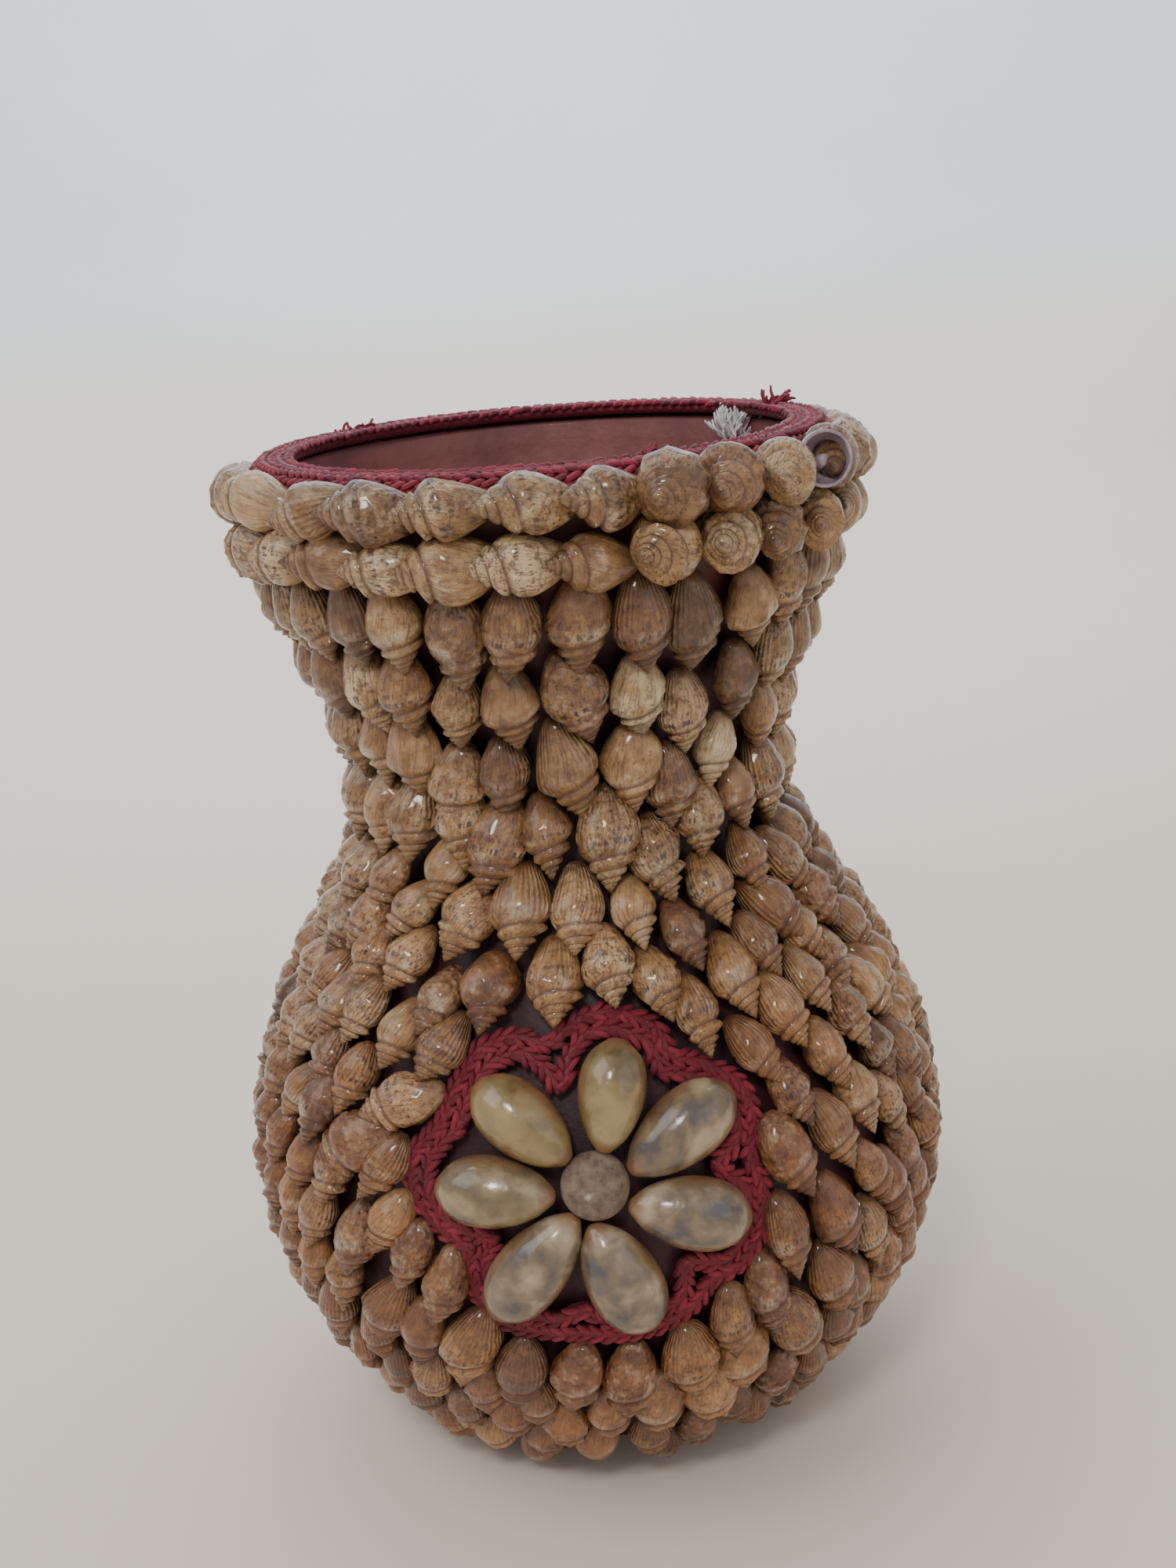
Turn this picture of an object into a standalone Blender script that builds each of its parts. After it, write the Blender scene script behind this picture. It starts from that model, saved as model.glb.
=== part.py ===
"""A turned vase covered with rows of small whelk shells, with a cowrie flower and a braided rim.

Metres, +Z up. The origin is the centre of the vase's underside, and the flower faces -Y.
"""
import math

import bmesh
import bpy
from mathutils import Matrix, Vector

# Vase body: the outer line of the turned wall, from the foot up to the lip
FOOT_RADIUS = 0.030
BELLY_RADIUS = 0.0663
BELLY_HEIGHT = 0.061
NECK_RADIUS = 0.0362
NECK_HEIGHT = 0.1435
LIP_RADIUS = 0.0547
LIP_HEIGHT = 0.206
WALL = 0.0035
FLOOR_THICKNESS = 0.005
LIP_ROUND = 0.001
FOOT_CURVE = 0.95
SHOULDER_CURVE = 1.15
BODY_SIDES = 26
FOOT_STEPS = 4
SHOULDER_STEPS = 5
NECK_STEPS = 4

# Shells standing spire down in rings around the body
SHELL_WIDTH = 0.0112
SHELL_LENGTH = 0.0190
SHELL_STAND = 0.0090
TIP_STAND = 0.0072
TIP_OVERLAP = 0.0059
NOSE_STAND = 0.0010
SHOULDER_SHARE = 0.5
GAP_STAND = 0.0050
GAP_TIP_STAND = 0.0030
GAP_TOP_SHARE = 0.30
GAP_TIP_SHARE = 0.70
NECK_PITCH = 0.0150
BELLY_PITCH = 0.0112
FIRST_NOSE_DROP = 0.0148
FLOWER_TO_FULL_RING = 0.0427
TIP_ABOVE_TABLE = 0.0008
ROW_LINE_STAND = 0.0050

# Shells lying along the rim, each tip over the next nose
RIM_SHELL_LENGTH = 0.0145
RIM_SHELL_HALF = 0.0047
RIM_SPIRE_HALF = 0.0030
RIM_JOINT_HALF = 0.0017
RIM_SHOULDER_SHARE = 0.45
RIM_SPIRE_SHARE = 0.78
RIM_ROW_DROP = 0.0010
RIM_ROW_PITCH = 0.0100
RIM_ROW_GAP = 0.0006

# Braid over the lip
BRAID_INSIDE = 0.0484
BRAID_OUTSIDE = 0.0570
BRAID_HEIGHT = 0.0037
BRAID_SIDES = 30
BRAID_EDGE_SHARE = 0.25
BRAID_BASE_SHARE = 0.8
CLEARANCE = 0.0003

# Flower of cowries on the belly
FLOWER_HEIGHT = 0.0797
PETALS = 7
PETAL_PHASE = math.radians(14)
PETAL_NUDGES = (4, 0, 0, -1.5, 0, 0, -4)
COWRIE_LENGTH = 0.0210
COWRIE_WIDTH = 0.0138
COWRIE_HEIGHT = 0.0105
COWRIE_TAPER = 0.24
COWRIE_SIDES = 6
COWRIE_RINGS = 6
COWRIE_STAND = 0.0009
CENTRE_RADIUS = 0.0062
CENTRE_HEIGHT = 0.0075
CENTRE_SIDES = 8
CENTRE_TO_PETAL = 0.0010
FLOWER_BRAID_WIDTH = 0.0036
FLOWER_BRAID_PITCH = 0.0042
FLOWER_BRAID_STAND = 0.0023
PETAL_TO_BRAID = 0.0007
INNER_NOTCH_DEPTH = 0.0080
OUTER_NOTCH_DEPTH = 0.0062
NOTCH_SHARPNESS = 0.7
FLOWER_BRAID_POINTS = 42
FLOWER_TO_SHELLS = 0.0015

PROFILE_SAMPLES = 400

# Colours from the photograph, as linear values, with roughness
FINISHES = {
    "vase_wall": ((0.090, 0.032, 0.034), 0.45),
    "shell": ((0.42, 0.30, 0.19), 0.30),
    "cowrie": ((0.40, 0.33, 0.23), 0.18),
    "button_shell": ((0.24, 0.19, 0.17), 0.60),
    "braid": ((0.155, 0.012, 0.022), 0.75),
}


def clear_scene():
    for thing in list(bpy.data.objects):
        bpy.data.objects.remove(thing, do_unlink=True)


def finish(name):
    """The plain material of one kind of piece."""
    material = bpy.data.materials.get(name) or bpy.data.materials.new(name)
    colour, roughness = FINISHES[name]
    material.use_nodes = True
    shader = material.node_tree.nodes["Principled BSDF"]
    shader.inputs["Base Color"].default_value = (*colour, 1.0)
    shader.inputs["Roughness"].default_value = roughness
    shader.inputs["Metallic"].default_value = 0.0
    return material


def add_object(name, mesh, finish_name, collection):
    piece = bpy.data.objects.new(name, mesh)
    piece.data.materials.append(finish(finish_name))
    collection.objects.link(piece)
    return piece


def mesh_from(bm, name):
    """Finish a bmesh with its faces pointing out."""
    bmesh.ops.recalc_face_normals(bm, faces=bm.faces)
    mesh = bpy.data.meshes.new(name)
    bm.to_mesh(mesh)
    bm.free()
    return mesh


def wall_radius(height):
    """Outer radius of the vase wall: a round foot, a cosine shoulder and a flared neck."""
    if height < BELLY_HEIGHT:
        share = max(height, 0.0) / BELLY_HEIGHT
        return FOOT_RADIUS + (BELLY_RADIUS - FOOT_RADIUS) * math.sin(math.pi / 2 * share ** FOOT_CURVE)
    if height < NECK_HEIGHT:
        share = (height - BELLY_HEIGHT) / (NECK_HEIGHT - BELLY_HEIGHT)
        blend = (1 + math.cos(math.pi * share ** SHOULDER_CURVE)) / 2
        return NECK_RADIUS + (BELLY_RADIUS - NECK_RADIUS) * blend
    share = min((height - NECK_HEIGHT) / (LIP_HEIGHT - NECK_HEIGHT), 1.0)
    return NECK_RADIUS + (LIP_RADIUS - NECK_RADIUS) * (1 - math.cos(math.pi * share)) / 2


def wall_normal(height):
    """Outward normal of the wall as (radial, upward)."""
    step = LIP_HEIGHT / PROFILE_SAMPLES
    low = max(height - step, 0.0)
    high = min(height + step, LIP_HEIGHT)
    slope = (wall_radius(high) - wall_radius(low)) / (high - low)
    length = math.hypot(1, slope)
    return 1 / length, -slope / length


class RowLine:
    """The line on which the shells are spaced, a little outside the wall, measured down from the lip."""

    def __init__(self):
        self.heights = [LIP_HEIGHT * (1 - i / PROFILE_SAMPLES) for i in range(PROFILE_SAMPLES + 1)]
        self.drops = [0.0]
        points = [self.offset_point(height, ROW_LINE_STAND) for height in self.heights]
        for before, after in zip(points, points[1:]):
            self.drops.append(self.drops[-1] + math.dist(before, after))

    @staticmethod
    def offset_point(height, stand):
        radial, upward = wall_normal(height)
        return wall_radius(height) + stand * radial, height + stand * upward

    def height_at(self, drop):
        """Wall height at a distance down the line; past the foot the line runs on straight."""
        if drop >= self.drops[-1]:
            return 0.0
        index = 1
        while self.drops[index] < drop:
            index += 1
        share = (drop - self.drops[index - 1]) / (self.drops[index] - self.drops[index - 1])
        return self.heights[index - 1] + share * (self.heights[index] - self.heights[index - 1])

    def drop_at(self, height):
        index = 1
        while self.heights[index] > height:
            index += 1
        share = (self.heights[index - 1] - height) / (self.heights[index - 1] - self.heights[index])
        return self.drops[index - 1] + share * (self.drops[index] - self.drops[index - 1])

    def point(self, drop, azimuth, stand):
        """A point that stands off the wall; azimuth 0 faces -Y and grows towards +X."""
        radius, height = self.offset_point(self.height_at(drop), stand)
        return Vector((radius * math.sin(azimuth), -radius * math.cos(azimuth), height))

    def frame(self, drop, azimuth):
        """Right, up and out directions on the wall."""
        radial, upward = wall_normal(self.height_at(drop))
        out = Vector((radial * math.sin(azimuth), -radial * math.cos(azimuth), upward))
        right = Vector((math.cos(azimuth), math.sin(azimuth), 0))
        return right, out.cross(right), out


def loft(sections, closed):
    """Skin a chain of equal sections, as a ring or with both ends capped."""
    bm = bmesh.new()
    loops = [[bm.verts.new(point) for point in section] for section in sections]
    pairs = list(zip(loops, loops[1:]))
    if closed:
        pairs.append((loops[-1], loops[0]))
    for before, after in pairs:
        for i in range(len(before)):
            j = (i + 1) % len(before)
            bm.faces.new((before[i], before[j], after[j], after[i]))
    if not closed:
        bm.faces.new(loops[0])
        bm.faces.new(loops[-1])
    bmesh.ops.triangulate(bm, faces=bm.faces)
    return bm


def body_profile():
    """Half section of the vase: inside floor, inner wall up, lip, outer wall down, underside."""
    heights = [BELLY_HEIGHT * (i / FOOT_STEPS) for i in range(FOOT_STEPS)]
    shoulder = NECK_HEIGHT - BELLY_HEIGHT
    heights += [BELLY_HEIGHT + shoulder * i / SHOULDER_STEPS for i in range(SHOULDER_STEPS)]
    neck = LIP_HEIGHT - LIP_ROUND - NECK_HEIGHT
    heights += [NECK_HEIGHT + neck * i / NECK_STEPS for i in range(NECK_STEPS + 1)]
    outer = [(wall_radius(height), height) for height in heights]
    inner = []
    for height in heights:
        radial, upward = wall_normal(height)
        point = (wall_radius(height) - WALL * radial, height - WALL * upward)
        if FLOOR_THICKNESS < point[1] < LIP_HEIGHT - LIP_ROUND:
            inner.append(point)
    floor_radius = min(inner[0][0], wall_radius(FLOOR_THICKNESS) - WALL) - FLOOR_THICKNESS
    inside = [(0.0, FLOOR_THICKNESS), (floor_radius, FLOOR_THICKNESS)] + inner
    lip = [(LIP_RADIUS - WALL, LIP_HEIGHT - LIP_ROUND), (LIP_RADIUS - WALL + LIP_ROUND, LIP_HEIGHT),
           (LIP_RADIUS - LIP_ROUND, LIP_HEIGHT)]
    return inside + lip + outer[::-1] + [(0.0, 0.0)]


def make_body(collection):
    points = body_profile()
    mesh = bpy.data.meshes.new("vase_body")
    edges = [(i, i + 1) for i in range(len(points) - 1)]
    mesh.from_pydata([(radius, 0, height) for radius, height in points], edges, [])
    body = add_object("vase_body", mesh, "vase_wall", collection)
    screw = body.modifiers.new("turn", "SCREW")
    screw.axis = "Z"
    screw.steps = BODY_SIDES
    screw.render_steps = BODY_SIDES
    screw.use_merge_vertices = True
    screw.merge_threshold = 0.00001


def flower_drop(line):
    return line.drop_at(FLOWER_HEIGHT)


def petal_angles():
    """Angles of the petals, clockwise from straight up, seen from the front."""
    return [PETAL_PHASE + math.tau * i / PETALS + math.radians(PETAL_NUDGES[i]) for i in range(PETALS)]


def petal_reach():
    """Distance from the flower's centre to the outer end of a petal."""
    return CENTRE_RADIUS + CENTRE_TO_PETAL + COWRIE_LENGTH


def braid_reach(angle, extra, notch_depth):
    """Distance from the flower's centre to the line of a braid: a lobe over each petal."""
    lobe = petal_reach() + PETAL_TO_BRAID + FLOWER_BRAID_WIDTH / 2 + extra
    swing = abs(math.cos(PETALS / 2 * (angle - PETAL_PHASE)))
    return lobe - notch_depth * (1 - swing ** NOTCH_SHARPNESS)


def on_flower(line, angle, reach, stand):
    """A point of the flower, laid over the round belly."""
    drop = flower_drop(line) - reach * math.cos(angle)
    radius = line.offset_point(line.height_at(drop), stand)[0]
    return line.point(drop, reach * math.sin(angle) / radius, stand)


def clear_of_flower(line, azimuth, top, tip):
    """Whether a shell at this azimuth, from its nose to its tip, stays off the flower's braid."""
    for share in (0.0, 0.25, 0.5, 0.75, 1.0):
        drop = top + share * (tip - top)
        radius = line.offset_point(line.height_at(drop), ROW_LINE_STAND)[0]
        across = math.remainder(azimuth, math.tau) * radius
        up = flower_drop(line) - drop
        angle = math.atan2(across, up)
        edge = braid_reach(angle, FLOWER_BRAID_PITCH, OUTER_NOTCH_DEPTH) + FLOWER_BRAID_WIDTH / 2
        half_width = SHELL_WIDTH / 2 * (1 - abs(2 * share - 1))
        if math.hypot(across, up) < edge + FLOWER_TO_SHELLS + half_width:
            return False
    return True


def shell_row(line, top, tip, phase):
    """One ring of shells side by side, spires down, open where the flower is."""
    length = tip - top
    middle = top + SHOULDER_SHARE * length
    radius = line.offset_point(line.height_at(middle), SHELL_STAND)[0]
    count = round(math.tau * radius / SHELL_WIDTH)
    step = math.tau / count

    def ridge(azimuth):
        return [line.point(top, azimuth, NOSE_STAND),
                line.point(middle, azimuth, SHELL_STAND),
                line.point(tip, azimuth, TIP_STAND)]

    def gap(azimuth):
        return [line.point(top + GAP_TOP_SHARE * length, azimuth, NOSE_STAND),
                line.point(middle, azimuth, GAP_STAND),
                line.point(top + GAP_TIP_SHARE * length, azimuth, GAP_TIP_STAND)]

    azimuths = [(i + phase) * step for i in range(count)]
    kept = [clear_of_flower(line, azimuth, top, tip) for azimuth in azimuths]
    sections = []
    if all(kept):
        for azimuth in azimuths:
            sections += [ridge(azimuth), gap(azimuth + step / 2)]
        return loft(sections, closed=True)
    first = next(i for i in range(count) if kept[i] and not kept[i - 1])
    sections.append(gap(azimuths[first] - step / 2))
    for i in range(first, first + sum(kept)):
        azimuth = azimuths[first] + (i - first) * step
        sections += [ridge(azimuth), gap(azimuth + step / 2)]
    return loft(sections, closed=False)


def row_spans(line):
    """Noses and tips of each ring, as distances below the lip.

    The belly's rings are set from the flower down to the table. The neck's rings share out
    the rest, from the rim rows to the whole ring over the flower.
    """
    belly = {}
    tip = flower_drop(line) - FLOWER_TO_FULL_RING
    neck_end = tip
    while tip < line.drops[-1] and line.point(tip, 0, TIP_STAND).z > TIP_ABOVE_TABLE:
        belly[f"belly_row_{len(belly) + 1:02d}"] = (tip - min(SHELL_LENGTH, BELLY_PITCH + TIP_OVERLAP), tip)
        tip += BELLY_PITCH
    first_tip = FIRST_NOSE_DROP + SHELL_LENGTH
    count = round((neck_end - first_tip) / NECK_PITCH)
    pitch = (neck_end - first_tip) / count
    length = min(SHELL_LENGTH, pitch + TIP_OVERLAP)
    tips = [first_tip + i * pitch for i in range(count)]
    neck = {f"neck_row_{i + 1}": (tip - length, tip) for i, tip in enumerate(tips)}
    return {**neck, **belly}


def make_shell_rows(line, collection):
    for index, (name, (top, tip)) in enumerate(row_spans(line).items()):
        bm = shell_row(line, top, tip, phase=0.5 * (index % 2))
        add_object(name, mesh_from(bm, name), "shell", collection)


def rim_row(drop_below_lip):
    """A ring of shells lying end to end, as diamond sections swelling and shrinking."""
    height = LIP_HEIGHT - drop_below_lip
    radius = wall_radius(height) + RIM_ROW_GAP + RIM_SHELL_HALF
    count = round(math.tau * radius / RIM_SHELL_LENGTH)
    stations = [(0.0, RIM_JOINT_HALF), (RIM_SHOULDER_SHARE, RIM_SHELL_HALF), (RIM_SPIRE_SHARE, RIM_SPIRE_HALF)]
    sections = []
    for i in range(count):
        for share, half in stations:
            azimuth = -(i + share) * math.tau / count
            section = []
            for across, up in ((half, 0), (0, half), (-half, 0), (0, -half)):
                reach = radius + across
                section.append((reach * math.sin(azimuth), -reach * math.cos(azimuth), height + up))
            sections.append(section)
    return loft(sections, closed=True)


def make_rim_rows(collection):
    for name, drop in (("rim_row_upper", RIM_ROW_DROP), ("rim_row_lower", RIM_ROW_DROP + RIM_ROW_PITCH)):
        add_object(name, mesh_from(rim_row(drop), name), "shell", collection)


def make_rim_braid(collection):
    """The braid as one soft band, arched over the lip."""
    base = LIP_HEIGHT + CLEARANCE
    middle = (BRAID_INSIDE + BRAID_OUTSIDE) / 2
    half = (BRAID_OUTSIDE - BRAID_INSIDE) / 2
    arch = [(math.cos(math.radians(a)), math.sin(math.radians(a))) for a in (0, 50, 130, 180)]
    edge = BRAID_HEIGHT * BRAID_EDGE_SHARE
    points = [(middle + half * across, base + edge + (BRAID_HEIGHT - edge) * up) for across, up in arch]
    points.insert(0, (middle + BRAID_BASE_SHARE * half, base))
    points.append((middle - BRAID_BASE_SHARE * half, base))
    sections = []
    for i in range(BRAID_SIDES):
        turn = math.tau * i / BRAID_SIDES
        sections.append([(r * math.cos(turn), r * math.sin(turn), z) for r, z in points])
    bm = loft(sections, closed=True)
    add_object("rim_braid", mesh_from(bm, "rim_braid"), "braid", collection)


def make_cowries(line, collection):
    """Seven cowries, narrow ends to the middle of the flower."""
    reach = petal_reach() - COWRIE_LENGTH / 2
    for index, angle in enumerate(petal_angles()):
        bm = bmesh.new()
        bmesh.ops.create_uvsphere(bm, u_segments=COWRIE_SIDES, v_segments=COWRIE_RINGS, radius=0.5)
        for vert in bm.verts:
            along = vert.co.z
            width = COWRIE_WIDTH * (1 + COWRIE_TAPER * 2 * along) / (1 + COWRIE_TAPER * COWRIE_TAPER)
            vert.co = Vector((vert.co.x * width, along * COWRIE_LENGTH, vert.co.y * COWRIE_HEIGHT))
        drop = flower_drop(line) - reach * math.cos(angle)
        radius = line.offset_point(line.height_at(drop), COWRIE_STAND)[0]
        azimuth = reach * math.sin(angle) / radius
        right, up, out = line.frame(drop, azimuth)
        along = up * math.cos(angle) + right * math.sin(angle)
        across = along.cross(out)
        turn = Matrix((across, along, out)).transposed().to_4x4()
        place = line.point(drop, azimuth, COWRIE_STAND + COWRIE_HEIGHT / 2)
        bmesh.ops.transform(bm, matrix=Matrix.Translation(place) @ turn, verts=bm.verts)
        bmesh.ops.triangulate(bm, faces=bm.faces)
        name = f"cowrie_petal_{index + 1}"
        add_object(name, mesh_from(bm, name), "cowrie", collection)


def make_centre(line, collection):
    """The domed button shell in the middle of the flower."""
    right, up, out = line.frame(flower_drop(line), 0)
    bm = bmesh.new()
    for stand, share in ((COWRIE_STAND, 0.75), (CENTRE_HEIGHT * 0.45, 1.0), (CENTRE_HEIGHT, 0.35)):
        place = line.point(flower_drop(line), 0, stand)
        for i in range(CENTRE_SIDES):
            turn = math.tau * i / CENTRE_SIDES
            offset = right * math.cos(turn) + up * math.sin(turn)
            bm.verts.new(place + offset * share * CENTRE_RADIUS)
    bmesh.ops.convex_hull(bm, input=bm.verts)
    bmesh.ops.triangulate(bm, faces=bm.faces)
    add_object("flower_centre", mesh_from(bm, "flower_centre"), "button_shell", collection)


def make_flower_braid(line, name, extra, notch_depth, collection):
    """A closed braid that follows the lobes of the flower."""
    curve = bpy.data.curves.new(name, "CURVE")
    curve.dimensions = "3D"
    curve.bevel_depth = FLOWER_BRAID_WIDTH / 2
    curve.bevel_resolution = 0
    spline = curve.splines.new("POLY")
    spline.points.add(FLOWER_BRAID_POINTS - 1)
    spline.use_cyclic_u = True
    for i, point in enumerate(spline.points):
        angle = PETAL_PHASE + math.tau * i / FLOWER_BRAID_POINTS
        place = on_flower(line, angle, braid_reach(angle, extra, notch_depth), FLOWER_BRAID_STAND)
        point.co = (*place, 1.0)
    curve.materials.append(finish("braid"))
    collection.objects.link(bpy.data.objects.new(name, curve))


def main():
    clear_scene()
    collection = bpy.data.collections.new("shell_vase")
    bpy.context.scene.collection.children.link(collection)
    line = RowLine()
    make_body(collection)
    make_rim_braid(collection)
    make_rim_rows(collection)
    make_shell_rows(line, collection)
    make_cowries(line, collection)
    make_centre(line, collection)
    make_flower_braid(line, "flower_braid_inner", 0.0, INNER_NOTCH_DEPTH, collection)
    make_flower_braid(line, "flower_braid_outer", FLOWER_BRAID_PITCH, OUTER_NOTCH_DEPTH, collection)


main()
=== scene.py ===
# %% [markdown]
# # A vase dressed in sea shells
# The real piece is a thin round vase, painted plum, whose whole outside is covered with
# small strombs and whelks glued on by hand, spires down. A crocheted crimson braid edges
# the mouth, and on the belly seven cowries make a flower inside a doubled braid.
#
# The solids come from the imported model and give every size. This notebook dresses them:
# it turns the wall smoothly, grows each shell from its own proportions, and crochets the
# braids stitch by stitch. The imported model is loaded first.

import bisect
import math
import random

import bmesh
import bpy
from mathutils import Matrix, Vector


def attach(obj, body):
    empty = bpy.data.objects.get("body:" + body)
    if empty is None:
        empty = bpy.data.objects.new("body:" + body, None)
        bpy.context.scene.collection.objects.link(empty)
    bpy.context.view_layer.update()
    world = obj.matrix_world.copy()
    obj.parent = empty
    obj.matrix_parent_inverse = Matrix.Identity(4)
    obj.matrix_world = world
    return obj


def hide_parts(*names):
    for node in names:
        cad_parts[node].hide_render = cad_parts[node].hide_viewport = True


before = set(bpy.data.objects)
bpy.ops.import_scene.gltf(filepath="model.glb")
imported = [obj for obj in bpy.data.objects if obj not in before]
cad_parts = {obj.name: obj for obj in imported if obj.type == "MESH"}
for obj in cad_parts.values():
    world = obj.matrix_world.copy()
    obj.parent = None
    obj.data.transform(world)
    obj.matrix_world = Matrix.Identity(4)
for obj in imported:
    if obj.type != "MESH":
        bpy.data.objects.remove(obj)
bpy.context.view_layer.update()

# %% [markdown]
# ## The wall as two functions
# Every shell and stitch is glued to the wall, so its place is worked out from the wall's
# own curve: a round foot, a cosine shoulder and a flared neck. The sizes repeat those of
# the solids, in metres.

# %% The wall's curve
FOOT_RADIUS = 0.0300
BELLY_RADIUS = 0.0663
BELLY_HEIGHT = 0.0610
NECK_RADIUS = 0.0362
NECK_HEIGHT = 0.1435
LIP_RADIUS = 0.0547
LIP_HEIGHT = 0.2060
WALL = 0.0035
FLOOR_THICKNESS = 0.0050
LIP_ROUND = 0.0010
FOOT_CURVE = 0.95
SHOULDER_CURVE = 1.15
LINE_STEPS = 400
ROW_LINE_STAND = 0.0050


def wall_radius(height):
    """Outer radius of the wall."""
    if height < BELLY_HEIGHT:
        share = max(height, 0.0) / BELLY_HEIGHT
        return FOOT_RADIUS + (BELLY_RADIUS - FOOT_RADIUS) * math.sin(math.pi / 2 * share ** FOOT_CURVE)
    if height < NECK_HEIGHT:
        share = (height - BELLY_HEIGHT) / (NECK_HEIGHT - BELLY_HEIGHT)
        return NECK_RADIUS + (BELLY_RADIUS - NECK_RADIUS) * (1 + math.cos(math.pi * share ** SHOULDER_CURVE)) / 2
    share = min((height - NECK_HEIGHT) / (LIP_HEIGHT - NECK_HEIGHT), 1.0)
    return NECK_RADIUS + (LIP_RADIUS - NECK_RADIUS) * (1 - math.cos(math.pi * share)) / 2


def wall_normal(height):
    """Outward normal of the wall as (radial, upward)."""
    step = LIP_HEIGHT / LINE_STEPS
    low, high = max(height - step, 0.0), min(height + step, LIP_HEIGHT)
    slope = (wall_radius(high) - wall_radius(low)) / (high - low)
    return 1 / math.hypot(1, slope), -slope / math.hypot(1, slope)


def offset_point(height, stand):
    """(radius, height) of a point that stands off the wall."""
    radial, upward = wall_normal(height)
    return wall_radius(height) + stand * radial, height + stand * upward


print("belly", wall_radius(BELLY_HEIGHT), "neck", wall_radius(NECK_HEIGHT))

# %% Distances down the wall
LINE_HEIGHTS = [LIP_HEIGHT * (1 - i / LINE_STEPS) for i in range(LINE_STEPS + 1)]
LINE_DROPS = [0.0]
for upper, lower in zip(LINE_HEIGHTS, LINE_HEIGHTS[1:]):
    LINE_DROPS.append(LINE_DROPS[-1] + math.dist(offset_point(upper, ROW_LINE_STAND),
                                                 offset_point(lower, ROW_LINE_STAND)))


def height_at(drop):
    """Wall height at a distance below the lip, measured along the rows of shells."""
    if drop >= LINE_DROPS[-1]:
        return 0.0
    index = max(bisect.bisect_left(LINE_DROPS, drop), 1)
    share = (drop - LINE_DROPS[index - 1]) / (LINE_DROPS[index] - LINE_DROPS[index - 1])
    return LINE_HEIGHTS[index - 1] + share * (LINE_HEIGHTS[index] - LINE_HEIGHTS[index - 1])


def drop_at(height):
    """The other way round: the distance below the lip of a wall height."""
    share = (LIP_HEIGHT - height) / LIP_HEIGHT * LINE_STEPS
    index = min(int(share), LINE_STEPS - 1)
    return LINE_DROPS[index] + (share - index) * (LINE_DROPS[index + 1] - LINE_DROPS[index])


def round_vase(azimuth, radius, height):
    """A point or a direction round the axis; azimuth 0 faces the camera and grows to the right."""
    return Vector((radius * math.sin(azimuth), -radius * math.cos(azimuth), height))


def on_wall(azimuth, drop, stand):
    """A point that stands off the wall."""
    return round_vase(azimuth, *offset_point(height_at(drop), stand))


def out_of_wall(azimuth, drop):
    """The way straight out of the wall."""
    return round_vase(azimuth, *wall_normal(height_at(drop)))


def radius_at(drop):
    """Radius of the line along which the shells lie."""
    return offset_point(height_at(drop), ROW_LINE_STAND)[0]


print("rows of shells run", round(LINE_DROPS[-1] * 1000, 1), "mm from lip to foot")

# %% [markdown]
# ## Finishing a piece
# Each finished piece stays at the origin with its place in its mesh, rides on the vase,
# takes its material, and hides the solids it stands for.

# %% Helpers for pieces
TRIANGLES = {}


def finish_piece(name, bm, material, solids=()):
    """Turn a bmesh into a named piece of the vase."""
    mesh = bpy.data.meshes.new(name)
    bm.to_mesh(mesh)
    bm.free()
    mesh.shade_smooth()
    piece = bpy.data.objects.new(name, mesh)
    bpy.context.scene.collection.objects.link(piece)
    mesh.materials.append(material)
    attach(piece, "root")
    if solids:
        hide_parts(*solids)
    TRIANGLES[name] = sum(len(face.vertices) - 2 for face in mesh.polygons)
    print(name, TRIANGLES[name], "triangles")


def smooth_step(low, high, value):
    """0 below low, 1 above high, and an easy slope between."""
    share = min(max((value - low) / (high - low), 0.0), 1.0)
    return share * share * (3 - 2 * share)


# %% [markdown]
# ## Building materials from nodes
# A few short helpers keep the node trees readable: one adds a node and fills its sockets,
# one makes a colour ramp, and one turns ordinary colour values into the linear ones that
# Blender's sockets expect.

# %% Helpers for nodes
def colour(red, green, blue):
    """Linear colour from 0-255 display values."""
    def linear(value):
        value /= 255
        return value / 12.92 if value <= 0.04045 else ((value + 0.055) / 1.055) ** 2.4
    return (linear(red), linear(green), linear(blue), 1.0)


def add(tree, kind, settings=None, **sockets):
    """Add a node and fill sockets, by name with _ for a space, or by number as i0, i1 and so on."""
    node = tree.nodes.new("ShaderNode" + kind)
    for key, value in (settings or {}).items():
        setattr(node, key, value)
    for key, value in sockets.items():
        numbered = key[0] == "i" and key[1:].isdigit()
        socket = node.inputs[int(key[1:]) if numbered else key.replace("_", " ")]
        if isinstance(value, bpy.types.NodeSocket):
            tree.links.new(value, socket)
        else:
            socket.default_value = value
    return node


def ramp(tree, factor, stops):
    """Colour ramp from (position, colour) stops."""
    node = add(tree, "ValToRGB", Fac=factor)
    while len(node.color_ramp.elements) < len(stops):
        node.color_ramp.elements.new(0.5)
    for element, (position, value) in zip(node.color_ramp.elements, stops):
        element.position = position
        element.color = value
    return node.outputs["Color"]


def math_node(tree, operation, first, second=0.0):
    return add(tree, "Math", {"operation": operation}, i0=first, i1=second).outputs[0]


def product(tree, *factors):
    """Several masks or values multiplied together."""
    result = factors[0]
    for factor in factors[1:]:
        result = math_node(tree, "MULTIPLY", result, factor)
    return result


def opposite(tree, mask):
    """1 where a mask is 0, and the other way round."""
    return math_node(tree, "SUBTRACT", 1.0, mask)


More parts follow.
